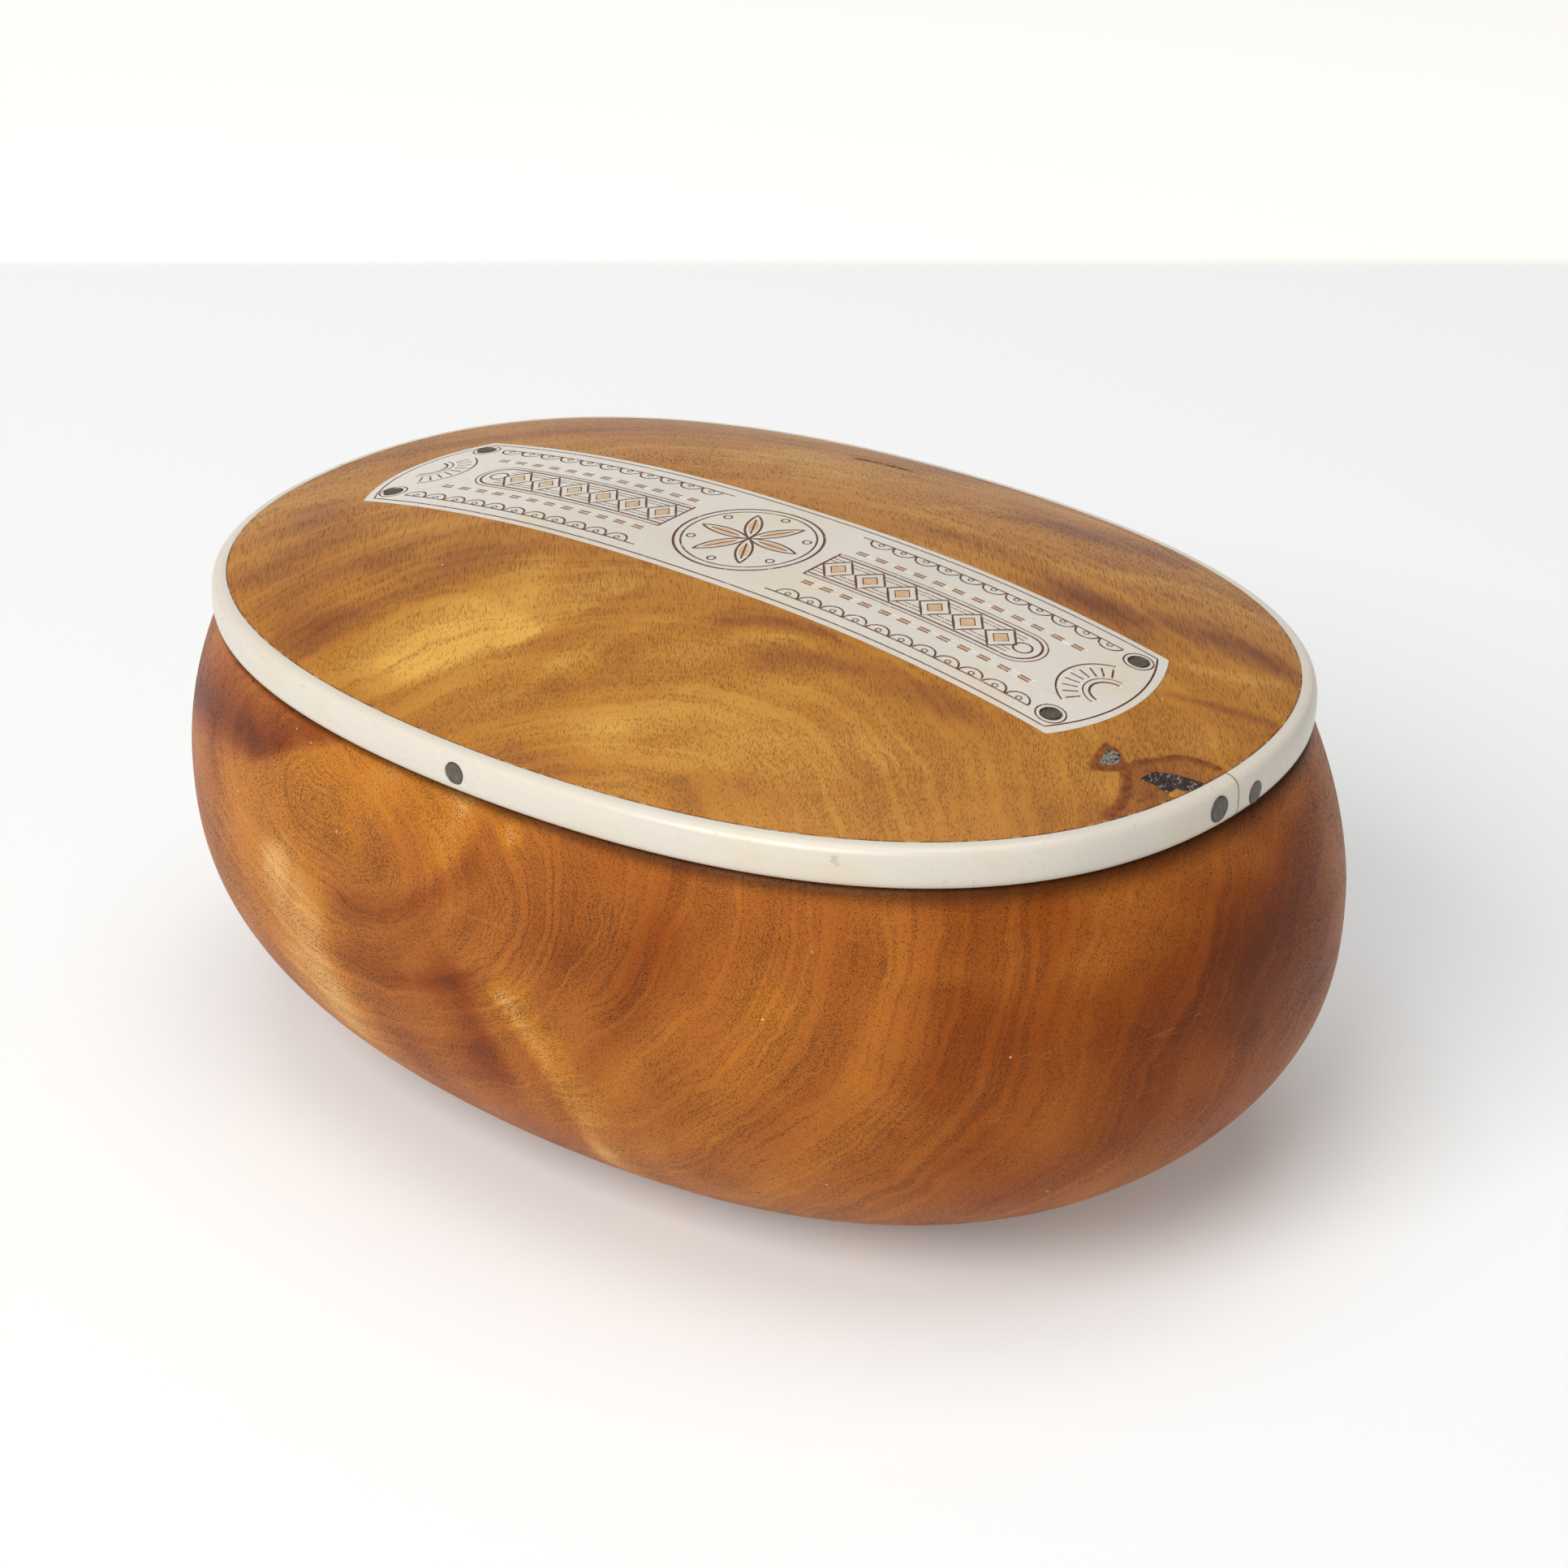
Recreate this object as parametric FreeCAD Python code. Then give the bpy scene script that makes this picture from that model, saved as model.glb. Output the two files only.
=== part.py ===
import FreeCAD, Part

import math
import os

from FreeCAD import Vector

# A carved wooden box with a domed lift-off lid. The lid's edge is bound by two antler strips and
# its crown holds an antler plate, both held by horn pins. Millimetres, +Z up, +X along the long
# axis, -Y the front. The origin is the middle of the flat base.

# ---- Lid outline and band ----
LID_LENGTH = 210.0
LID_WIDTH = 151.4
LID_SQUARENESS = 0.049       # how much the oval fills out between its two axes
BAND_THICKNESS = 2.7
BAND_HEIGHT = 7.7
BAND_ROLL = 2.2              # rounding along the band's two outer edges
BAND_JOINT_ANGLE = -1.4      # degrees round the outline, from +X; the other joint is opposite
JOINT_GAP = 0.12             # glue line between the ends of two strips
GLUE_GAP = 0.05              # glue film between bonded pieces

# ---- Lid dome and underside ----
DOME_RISE = 13.2             # from the band's top to the crown
DOME_FULLNESS = 2.32         # exponent of the crown's fall towards the edge
BOARD_THICKNESS = 8.5        # between the dome and the hollow under it
PLUG_DEPTH = 5.0             # step under the lid that drops into the mouth
PLUG_WIDTH = 7.0
PLUG_CLEARANCE = 0.6
PLUG_EDGE = 0.8              # bevel round the step's lower outer edge

# ---- Antler plate let into the crown ----
PLATE_LENGTH = 155.0         # corner to corner
PLATE_WIDTH = 36.0
PLATE_END_BULGE = 4.9        # how far each end arc stands past its corners
PLATE_THICKNESS = 2.2
PLATE_FIT = 0.06             # gap round the plate's outline

# ---- Horn pins ----
PIN_FIT = 0.02               # radial gap between a pin and its hole
PLATE_PIN_DIAMETER = 3.7
PLATE_PIN_LENGTH = 6.5       # from the dome's surface down
PLATE_PIN_END_INSET = 2.8    # pin centres in from the plate's corners, along the plate
PLATE_PIN_SIDE_INSET = 5.2   # and across it
EDGE_PIN_LENGTH = 9.5
EDGE_PIN_FROM_JOINT = 5.2    # along the outline, between a joint and the pin beside it
FRONT_PIN_ANGLE = -90.6      # degrees round the outline
BACK_PIN_ANGLE = 88.6
# name, angle to start from, distance along the outline, rise above mid-band, diameter
EDGE_PINS = [
    ("front_right", BAND_JOINT_ANGLE, -EDGE_PIN_FROM_JOINT, 0.0, 4.4),
    ("front_mid", FRONT_PIN_ANGLE, 0.0, 0.0, 3.8),
    ("front_left", BAND_JOINT_ANGLE + 180, EDGE_PIN_FROM_JOINT, 0.0, 4.0),
    ("back_right", BAND_JOINT_ANGLE, EDGE_PIN_FROM_JOINT, -0.9, 3.8),
    ("back_mid", BACK_PIN_ANGLE, 0.0, 0.0, 4.0),
    ("back_left", BAND_JOINT_ANGLE + 180, -EDGE_PIN_FROM_JOINT, 0.0, 4.0),
]

# ---- Bowl ----
BOWL_HEIGHT = 83.2
RIM_SETBACK = 1.05           # rim outline inside the lid's outline
RIM_WIDTH = 6.6              # flat rim between the outline and the mouth
RIM_ROUND = 1.1
BELLY_DROP = 30.5            # widest section below the rim
BELLY_OVERHANG_ENDS = 9.8    # belly past the rim, at each end
BELLY_OVERHANG_SIDES = 4.4   # and at each side
BELLY_SQUARENESS = 0.0415
SHOULDER_CURVE = 1.83        # exponent of the inward turn from the belly up to the rim
FLANK_CURVE = 2.62           # exponents of the turn from the belly down to the base
FOOT_CURVE = 1.27
BASE_LENGTH = 130.0          # flat face that the bowl stands on
BASE_WIDTH = 84.0
WALL = 6.6
FLOOR = 8.0
FLOOR_INSET = 2.0            # inner floor outline inside the base outline

# ---- How finely curves are set out ----
OVAL_POINTS = 48
SHOULDER_SECTIONS = 6
FLANK_SECTIONS = 13
DOME_STEPS_LONG = 42
DOME_STEPS_WIDE = 32
OVERSHOOT = 2.0              # how far cutting solids run past what they cut

HALF_LENGTH = LID_LENGTH / 2
HALF_WIDTH = LID_WIDTH / 2
BOARD_HALF_LENGTH = HALF_LENGTH - BAND_THICKNESS
BOARD_HALF_WIDTH = HALF_WIDTH - BAND_THICKNESS
CROWN_HEIGHT = BAND_HEIGHT + DOME_RISE
RIM_HALF_LENGTH = HALF_LENGTH - RIM_SETBACK
RIM_HALF_WIDTH = HALF_WIDTH - RIM_SETBACK
BELLY_HALF_LENGTH = RIM_HALF_LENGTH + BELLY_OVERHANG_ENDS
BELLY_HALF_WIDTH = RIM_HALF_WIDTH + BELLY_OVERHANG_SIDES
BELLY_HEIGHT = BOWL_HEIGHT - BELLY_DROP


# ---- Ovals ----

def oval_point(half_length, half_width, squareness, degrees, height):
    """Point of the oval at an angle: an ellipse that bulges between its axes."""
    angle = math.radians(degrees)
    bulge = 1 + squareness * math.sin(2 * angle) ** 2
    return Vector(half_length * math.cos(angle) * bulge, half_width * math.sin(angle) * bulge, height)


def oval_wire(half_length, half_width, squareness, height):
    """Closed smooth oval whose seam lies at a joint of the band, where the glue line removes it."""
    points = []
    for step in range(OVAL_POINTS):
        degrees = BAND_JOINT_ANGLE + 360 * step / OVAL_POINTS
        points.append(oval_point(half_length, half_width, squareness, degrees, height))
    curve = Part.BSplineCurve()
    curve.interpolate(points, PeriodicFlag=True)
    return Part.Wire([curve.toShape()])


def oval_prism(half_length, half_width, squareness, bottom, top):
    face = Part.Face(oval_wire(half_length, half_width, squareness, bottom))
    return face.extrude(Vector(0, 0, top - bottom))


def level_edges(solid, height):
    """Edges that lie flat at one height."""
    found = []
    for edge in solid.Edges:
        box = edge.BoundBox
        if abs(box.ZMin - height) < 0.01 and abs(box.ZMax - height) < 0.01:
            found.append(edge)
    return found


# ---- Bowl ----

def bowl_section(inset, level, belly, base, base_height):
    """Oval of the bowl's profile: level is 1 at the rim, 0 at the belly and -1 at the base."""
    if level >= 0:
        turn = level ** SHOULDER_CURVE
        half_length = belly[0] + (RIM_HALF_LENGTH - inset - belly[0]) * turn
        half_width = belly[1] + (RIM_HALF_WIDTH - inset - belly[1]) * turn
        squareness = BELLY_SQUARENESS + (LID_SQUARENESS - BELLY_SQUARENESS) * turn
        height = BELLY_HEIGHT + BELLY_DROP * level
    else:
        turn = (1 - (-level) ** FLANK_CURVE) ** (1 / FOOT_CURVE)
        half_length = base[0] + (belly[0] - base[0]) * turn
        half_width = base[1] + (belly[1] - base[1]) * turn
        squareness = BELLY_SQUARENESS
        height = BELLY_HEIGHT + (BELLY_HEIGHT - base_height) * level
    return oval_wire(half_length, half_width, squareness, height)


def bowl_form(inset, belly_inset, base_inset, base_height, top_level):
    """Solid of the bowl's profile, moved in by a wall for the hollow."""
    belly = (BELLY_HALF_LENGTH - belly_inset, BELLY_HALF_WIDTH - belly_inset)
    base = (BASE_LENGTH / 2 - base_inset, BASE_WIDTH / 2 - base_inset)
    levels = []
    for step in range(FLANK_SECTIONS):
        levels.append(-1 + (step / FLANK_SECTIONS) ** 2)
    for step in range(SHOULDER_SECTIONS + 1):
        levels.append(top_level * step / SHOULDER_SECTIONS)
    wires = [bowl_section(inset, level, belly, base, base_height) for level in levels]
    return Part.makeLoft(wires, True)


def make_bowl():
    outside = bowl_form(0, 0, 0, 0, 1)
    past_rim = 1 + OVERSHOOT / BELLY_DROP
    hollow = bowl_form(RIM_WIDTH, WALL, FLOOR_INSET, FLOOR, past_rim)
    bowl = outside.cut(hollow)
    return bowl.makeFillet(RIM_ROUND, level_edges(bowl, BOWL_HEIGHT))


# ---- Lid: heights are measured from the lid's underside until the lid is set on the rim ----

def dome_height(x, y):
    angle = math.atan2(y / BOARD_HALF_WIDTH, x / BOARD_HALF_LENGTH)
    bulge = 1 + LID_SQUARENESS * math.sin(2 * angle) ** 2
    share = math.hypot(x / BOARD_HALF_LENGTH, y / BOARD_HALF_WIDTH) / bulge
    return BAND_HEIGHT + DOME_RISE * (1 - share ** DOME_FULLNESS)


def dome_block(drop):
    """Everything under the dome's surface, with the surface lowered by drop."""
    rows = []
    for long_step in range(DOME_STEPS_LONG + 1):
        x = (HALF_LENGTH + OVERSHOOT) * (2 * long_step / DOME_STEPS_LONG - 1)
        row = []
        for wide_step in range(DOME_STEPS_WIDE + 1):
            y = (HALF_WIDTH + OVERSHOOT) * (2 * wide_step / DOME_STEPS_WIDE - 1)
            row.append(Vector(x, y, dome_height(x, y) - drop))
        rows.append(row)
    surface = Part.BSplineSurface()
    surface.interpolate(rows)
    depth = 2 * CROWN_HEIGHT + PLUG_DEPTH
    return surface.toShape().extrude(Vector(0, 0, -depth))


def make_band_blank(dome):
    """Solid oval whose rim is the band's outer shape: domed top, rounded outer edges."""
    blank = oval_prism(HALF_LENGTH, HALF_WIDTH, LID_SQUARENESS, 0, CROWN_HEIGHT + OVERSHOOT)
    blank = blank.common(dome)
    roll = min(BAND_ROLL, 0.9 * BAND_THICKNESS, 0.4 * BAND_HEIGHT)
    outer_edges = [edge for edge in blank.Edges if edge.Length > LID_LENGTH]
    return blank.makeFillet(roll, outer_edges)


def make_plate_outline(grow, bottom, top):
    """Prism of the plate's outline: straight sides and a convex arc at each end."""
    x = PLATE_LENGTH / 2 + grow
    y = PLATE_WIDTH / 2 + grow
    end = x + PLATE_END_BULGE
    sides = [
        Part.LineSegment(Vector(-x, -y, bottom), Vector(x, -y, bottom)),
        Part.Arc(Vector(x, -y, bottom), Vector(end, 0, bottom), Vector(x, y, bottom)),
        Part.LineSegment(Vector(x, y, bottom), Vector(-x, y, bottom)),
        Part.Arc(Vector(-x, y, bottom), Vector(-end, 0, bottom), Vector(-x, -y, bottom)),
    ]
    outline = Part.Wire([side.toShape() for side in sides])
    return Part.Face(outline).extrude(Vector(0, 0, top - bottom))


def plate_pin_places():
    x = PLATE_LENGTH / 2 - PLATE_PIN_END_INSET
    y = PLATE_WIDTH / 2 - PLATE_PIN_SIDE_INSET
    return {
        "front_left": (-x, -y),
        "front_right": (x, -y),
        "back_left": (-x, y),
        "back_right": (x, y),
    }


def plate_pin_rod(place, radius):
    """Upright rod from a pin's foot to above the dome."""
    foot = dome_height(place[0], place[1]) - PLATE_PIN_LENGTH
    base = Vector(place[0], place[1], foot)
    return Part.makeCylinder(radius, CROWN_HEIGHT + OVERSHOOT - foot, base, Vector(0, 0, 1))


def angle_along(start, distance):
    """Angle reached by going a signed distance round the lid's outline from a start angle."""
    here = oval_point(HALF_LENGTH, HALF_WIDTH, LID_SQUARENESS, start, 0)
    ahead = oval_point(HALF_LENGTH, HALF_WIDTH, LID_SQUARENESS, start + 1, 0)
    return start + distance / here.distanceToPoint(ahead)


def edge_pin_rod(degrees, rise, radius):
    """Level rod square to the outline, from a pin's inner end to outside the band."""
    here = oval_point(HALF_LENGTH, HALF_WIDTH, LID_SQUARENESS, degrees, BAND_HEIGHT / 2 + rise)
    ahead = oval_point(HALF_LENGTH, HALF_WIDTH, LID_SQUARENESS, degrees + 1, here.z)
    tangent = (ahead - here).normalize()
    outward = Vector(tangent.y, -tangent.x, 0)
    start = here - outward * EDGE_PIN_LENGTH
    return Part.makeCylinder(radius, EDGE_PIN_LENGTH + OVERSHOOT, start, outward)


def edge_pin_rods(grow):
    rods = {}
    for name, start, distance, rise, diameter in EDGE_PINS:
        rods[name] = edge_pin_rod(angle_along(start, distance), rise, diameter / 2 + grow)
    return rods


def plate_pin_rods(grow):
    rods = {}
    for name, place in plate_pin_places().items():
        rods[name] = plate_pin_rod(place, PLATE_PIN_DIAMETER / 2 + grow)
    return rods


def make_lid_board(dome, pin_holes):
    """Domed board with a step that fits the mouth, hollowed under the dome."""
    board = oval_prism(
        BOARD_HALF_LENGTH - GLUE_GAP, BOARD_HALF_WIDTH - GLUE_GAP, LID_SQUARENESS,
        0, CROWN_HEIGHT + OVERSHOOT)
    board = board.common(dome)

    mouth_inset = RIM_WIDTH + PLUG_CLEARANCE
    plug_length = RIM_HALF_LENGTH - mouth_inset
    plug_width = RIM_HALF_WIDTH - mouth_inset
    plug = oval_prism(plug_length, plug_width, LID_SQUARENESS, -PLUG_DEPTH, BAND_HEIGHT / 2)
    plug = plug.makeChamfer(PLUG_EDGE, level_edges(plug, -PLUG_DEPTH))
    board = board.fuse(plug)

    hollow = oval_prism(
        plug_length - PLUG_WIDTH, plug_width - PLUG_WIDTH, LID_SQUARENESS,
        -PLUG_DEPTH - OVERSHOOT, CROWN_HEIGHT)
    board = board.cut(hollow.common(dome_block(BOARD_THICKNESS)))

    recess = make_plate_outline(0, 0, CROWN_HEIGHT + OVERSHOOT)
    board = board.cut(recess.cut(dome_block(PLATE_THICKNESS + GLUE_GAP)))
    for rod in pin_holes:
        board = board.cut(rod)
    return board


def make_plate(dome, pin_holes):
    plate = make_plate_outline(-PLATE_FIT, 0, CROWN_HEIGHT + OVERSHOOT)
    plate = plate.common(dome).cut(dome_block(PLATE_THICKNESS))
    for rod in pin_holes:
        plate = plate.cut(rod)
    return plate


def make_strips(band_blank, pin_holes):
    """The two antler strips that bind the lid's edge, butted end to end at the joints."""
    core = oval_prism(
        BOARD_HALF_LENGTH, BOARD_HALF_WIDTH, LID_SQUARENESS, -OVERSHOOT, CROWN_HEIGHT + OVERSHOOT)
    band = band_blank.cut(core)
    for rod in pin_holes:
        band = band.cut(rod)

    joint = oval_point(HALF_LENGTH, HALF_WIDTH, LID_SQUARENESS, BAND_JOINT_ANGLE, 0)
    turn = math.degrees(math.atan2(joint.y, joint.x))
    reach = 2 * LID_LENGTH
    half_space = Part.makeBox(2 * reach, reach, reach, Vector(-reach, JOINT_GAP / 2, -reach / 2))
    strips = {}
    for name, half_turn in (("back", 0), ("front", 180)):
        side = half_space.copy()
        side.rotate(Vector(0, 0, 0), Vector(0, 0, 1), turn + half_turn)
        strips[name] = band.common(side)
    return strips


def make_lid():
    """Every piece of the lid by name, resting on the rim."""
    dome = dome_block(0)
    band_blank = make_band_blank(dome)
    plate_holes = list(plate_pin_rods(PIN_FIT).values())
    edge_holes = list(edge_pin_rods(PIN_FIT).values())

    pieces = {
        "lid_board": make_lid_board(dome, plate_holes + edge_holes),
        "inlay_plate": make_plate(dome, plate_holes),
    }
    for name, strip in make_strips(band_blank, edge_holes).items():
        pieces["edge_strip_" + name] = strip
    for name, rod in plate_pin_rods(0).items():
        pieces["plate_pin_" + name] = rod.common(dome)
    for name, rod in edge_pin_rods(0).items():
        pieces["edge_pin_" + name] = rod.common(band_blank)
    for piece in pieces.values():
        piece.translate(Vector(0, 0, BOWL_HEIGHT))
    return pieces


def single_solid(name, shape):
    """The one solid that a piece is made of."""
    solids = shape.Solids
    if len(solids) != 1 or not solids[0].isValid():
        raise ValueError(name + " is not one sound solid")
    return solids[0]


def main():
    os.makedirs("parts", exist_ok=True)
    pieces = {"bowl": make_bowl()}
    pieces.update(make_lid())
    for name, shape in pieces.items():
        single_solid(name, shape).exportStep("parts/" + name + ".step")


main()
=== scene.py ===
"""A carved, figured birch box with a domed lid, bound and inlaid with engraved antler."""

from contextlib import contextmanager
import math

import bmesh
import bpy
import numpy as np
from bpy.props import FloatProperty, FloatVectorProperty, PointerProperty
from bpy.types import Operator, Panel, PropertyGroup
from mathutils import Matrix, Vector
from mathutils.geometry import delaunay_2d_cdt


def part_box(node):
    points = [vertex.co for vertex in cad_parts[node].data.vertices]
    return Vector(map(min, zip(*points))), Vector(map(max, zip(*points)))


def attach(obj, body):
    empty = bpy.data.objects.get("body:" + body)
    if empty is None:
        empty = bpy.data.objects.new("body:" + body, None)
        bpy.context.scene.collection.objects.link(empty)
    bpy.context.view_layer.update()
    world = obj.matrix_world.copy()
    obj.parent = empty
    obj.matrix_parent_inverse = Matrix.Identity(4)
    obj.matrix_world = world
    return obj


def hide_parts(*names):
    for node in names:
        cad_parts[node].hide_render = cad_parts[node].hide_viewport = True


bl_info = {
    "name": "Lidded Oval Box",
    "version": (1, 0, 0),
    "blender": (4, 5, 0),
    "location": "3D View > Sidebar > Box",
    "description": "Makes a carved wooden box whose lid is bound and inlaid with antler",
    "category": "Add Mesh",
}

MM = 0.001
# Points closer than this are one point.
SAME_PLACE = 0.0001 * MM
# How far a cutter stands past the surface that it cuts.
CLEAR = 2 * MM

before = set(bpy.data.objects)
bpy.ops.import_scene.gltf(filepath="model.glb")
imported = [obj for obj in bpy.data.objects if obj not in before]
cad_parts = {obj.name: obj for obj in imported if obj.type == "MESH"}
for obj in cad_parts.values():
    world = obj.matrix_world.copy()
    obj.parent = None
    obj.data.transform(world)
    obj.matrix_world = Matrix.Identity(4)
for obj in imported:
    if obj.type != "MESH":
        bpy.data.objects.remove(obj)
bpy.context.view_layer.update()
_, BOWL_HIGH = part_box("bowl")
STRIP_LOW, STRIP_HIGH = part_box("edge_strip_front")
_, PLATE_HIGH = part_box("inlay_plate")
PLATE_PINS = (
    "plate_pin_front_left", "plate_pin_front_right", "plate_pin_back_left", "plate_pin_back_right",
)
EDGE_PINS = (
    "edge_pin_front_right", "edge_pin_front_mid", "edge_pin_front_left",
    "edge_pin_back_right", "edge_pin_back_mid", "edge_pin_back_left",
)


# ---- Sizes and colours that a user may change ----

def length(name, description, default):
    return FloatProperty(
        name=name, description=description, default=default, min=0.0, unit="LENGTH", precision=5)


def share(name, description, default):
    return FloatProperty(name=name, description=description, default=default, precision=4)


def power(name, description, default):
    return FloatProperty(name=name, description=description, default=default, unit="POWER")


def linear(code):
    """Linear colour for an sRGB code such as 0xC8803A."""
    parts = []
    for shift in (16, 8, 0):
        value = ((code >> shift) & 255) / 255
        parts.append(value / 12.92 if value <= 0.04045 else ((value + 0.055) / 1.055) ** 2.4)
    return tuple(parts)


def colour(name, description, code):
    return FloatVectorProperty(
        name=name, description=description, default=linear(code), subtype="COLOR", min=0.0, max=1.0)


class LidSizes(PropertyGroup):
    half_length: length("Half length", "Middle of the lid to its end, over the band", STRIP_HIGH.x)
    half_width: length("Half width", "Middle of the lid to its side, over the band", -STRIP_LOW.y)
    seat: length("Seat height", "Height of the rim that the lid rests on", STRIP_LOW.z)
    band_height: length("Band height", "Height of the antler band", STRIP_HIGH.z - STRIP_LOW.z)
    band_thickness: length("Band thickness", "Thickness of the antler band", 2.7 * MM)
    band_roundness: share("Band roundness", "Exponent of the band's rounded face: 2 is an ellipse", 3.1)
    band_tilt: share("Band tilt", "Slope of the band's upper side", 0.12)
    joint_gap: length("Joint gap", "Glue line between the ends of two strips", 0.12 * MM)
    joint_angle: share("Joint angle", "Degrees round the outline of the first joint", -1.4)
    glue_gap: length("Glue gap", "Glue film between the board and the band", 0.05 * MM)
    squareness: share("Squareness", "How much the oval fills out between its axes", 0.049)
    crown: length("Crown", "Height of the crown over the seat", PLATE_HIGH.z - STRIP_LOW.z)
    fullness: share("Fullness", "Exponent of the dome's fall towards the edge", 2.32)
    board_thickness: length("Board thickness", "Wood between the dome and the hollow", 8.5 * MM)
    plug_inset: length("Plug inset", "Outline of the lid to the step that drops into the mouth", 8.25 * MM)
    plug_depth: length("Plug depth", "Depth of that step", 5.0 * MM)
    plug_width: length("Plug width", "Width of that step's foot", 7.0 * MM)
    plug_edge: length("Plug edge", "Bevel of that step's lower edge", 0.8 * MM)


class BowlSizes(PropertyGroup):
    belly_half_length: length("Belly half length", "Half length at the widest level", BOWL_HIGH.x)
    belly_half_width: length("Belly half width", "Half width at the widest level", BOWL_HIGH.y)
    belly_squareness: share("Belly squareness", "How much the oval fills out at the belly", 0.0415)
    height: length("Height", "Height of the rim", BOWL_HIGH.z)
    belly_drop: length("Belly drop", "Rim to the widest level", 30.5 * MM)
    rim_setback: length("Rim setback", "Rim outline inside the lid's outline", 1.05 * MM)
    rim_width: length("Rim width", "Width of the flat rim", 6.6 * MM)
    rim_round: length("Rim round", "Rounding of the rim's two edges", 1.1 * MM)
    shoulder: share("Shoulder curve", "Exponent of the turn from the belly up to the rim", 1.83)
    flank: share("Flank curve", "First exponent of the turn from the belly down to the base", 2.62)
    foot: share("Foot curve", "Second exponent of that turn", 1.27)
    base_half_length: length("Base half length", "Half length of the flat base", 65.0 * MM)
    base_half_width: length("Base half width", "Half width of the flat base", 42.0 * MM)
    wall: length("Wall", "Wall at the belly", 6.6 * MM)
    floor: length("Floor", "Thickness of the bottom", 8.0 * MM)
    floor_inset: length("Floor inset", "Inner floor outline inside the base outline", 2.0 * MM)
    tool_marks: length("Tool marks", "Depth of the carver's soft undulation", 0.12 * MM)


class PlateSizes(PropertyGroup):
    half_length: length("Half length", "Middle of the plate to its corners", 77.44 * MM)
    half_width: length("Half width", "Middle of the plate to its straight side", PLATE_HIGH.y)
    end_bulge: length("End bulge", "How far each end arc stands past the corners", 4.9 * MM)
    thickness: length("Thickness", "Thickness of the antler", 2.2 * MM)
    fit: length("Fit", "Gap between the plate and its recess", 0.06 * MM)
    pin_end_inset: length("Pin end inset", "Pin centres in from the corners, along the plate", 2.74 * MM)
    pin_side_inset: length("Pin side inset", "Pin centres in from the straight sides", 5.14 * MM)
    line_width: length("Line width", "Width of an engraved line", 0.46 * MM)
    line_depth: length("Line depth", "Depth of an engraved line", 0.16 * MM)


class PinSizes(PropertyGroup):
    plate_radius: length("Plate pin radius", "Radius of the pins in the plate", 1.85 * MM)
    plate_length: length("Plate pin length", "Length of the pins in the plate", 6.5 * MM)
    edge_length: length("Edge pin length", "Length of the pins in the band", 9.5 * MM)
    gap: length("Gap", "Gap between a pin and its hole", 0.07 * MM)
    crown: length("Crown", "How much a pin's end swells", 0.05 * MM)


class WoodLook(PropertyGroup):
    streak: colour("Streak", "Darkest figure", 0x7C4620)
    shade: colour("Shade", "Dark figure", 0x9A5F2B)
    body: colour("Body", "Main colour", 0xB4772D)
    light: colour("Light", "Light figure", 0xC38B3C)
    glow: colour("Glow", "Brightest figure", 0xDAA44C)
    pore: colour("Pore", "Pores", 0x5F3416)
    edge: colour("Edge", "Dark edge against the band", 0x5A2C12)
    sheen: colour("Sheen", "Tint of the oiled shine", 0xFFFFFF)


class BowlLook(PropertyGroup):
    streak: colour("Streak", "Darkest figure", 0x682A04)
    shade: colour("Shade", "Dark figure", 0x8E430A)
    body: colour("Body", "Main colour", 0xA95F20)
    light: colour("Light", "Light figure", 0xC07622)
    glow: colour("Glow", "Brightest figure", 0xDEA45C)
    pore: colour("Pore", "Pores", 0x3E1E0C)
    # On the bowl this edge colour is painted shade just under the lid's band.
    edge: colour("Edge", "Wood darkened under the lid", 0x2E1204)
    sheen: colour("Sheen", "Tint of the oiled shine", 0xFFF0DE)


class AntlerLook(PropertyGroup):
    body: colour("Body", "Main colour of the band", 0xD8D0C3)
    plate: colour("Plate", "Main colour of the plate", 0xDBD4CA)
    warm: colour("Warm", "Warmer patches", 0xD9C9AC)
    cool: colour("Cool", "Greyer patches", 0xCFCAC0)
    ink: colour("Ink", "Pigment rubbed into the engraving", 0x6B4834)
    tan: colour("Tan", "Lighter pigment", 0xCFA679)
    glue: colour("Glue", "Aged glue in the joints", 0x9A7A3C)


class HornLook(PropertyGroup):
    body: colour("Body", "Main colour", 0x605646)
    dark: colour("Dark", "Dark fibres", 0x343026)


class StageLook(PropertyGroup):
    floor: colour("Floor", "Pale floor", 0xE4E5E5)
    distance: colour("Distance", "Floor beyond the far line", 0xF8F6F1)
    key_power: power("Key light", "Power of the key light", 51.0)
    top_power: power("Top light", "Power of the top light", 36.0)
    walls: share("Walls", "Brightness of the pale walls all round", 0.95)
    ceiling: share("Ceiling", "Brightness of the ceiling", 0.12)
    floor_glow: share("Floor glow", "Light that comes through the floor's sheet", 0.22)
    far_glow: share("Far glow", "Extra light on the distant floor", 0.07)
    shine: share("Shine", "How much of the walls shows in reflections", 0.15)


# Colours of small marks.
FILLER = 0xCBAA76
DUST = 0xF0E2C8
KNOT_DARK, KNOT_PALE = 0x5E3016, 0x8A4A20
BARK_DARK, BARK_PALE = 0x33241F, 0x8A8078
GRIME, STAIN, BRUISE = 0x3F3A2C, 0xB9A97F, 0x9C9070
HORN_CLOUD = 0x6B6657

# Strength of each effect of the wood, and how its dark edge looks (on the lid a dark joint against the
# band, on the bowl painted shade under the band): how ragged it is, where it starts, how much pale filler
# shows in it, and the shine.
BOWL_AMOUNTS = {
    "rings": 0.2, "ripple": 0.24, "silk": 0.12, "pores": 0.62, "growth": 0.4,
    "ragged": 0.05, "rim_start": 0.0, "filler": 0.0, "gloss": 0.17,
}
LID_AMOUNTS = {
    "rings": 0.3, "ripple": 0.34, "silk": 0.14, "pores": 0.46, "growth": 0.25,
    "ragged": 0.7, "rim_start": 0.4, "filler": 0.75, "gloss": 0.3,
}


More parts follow.
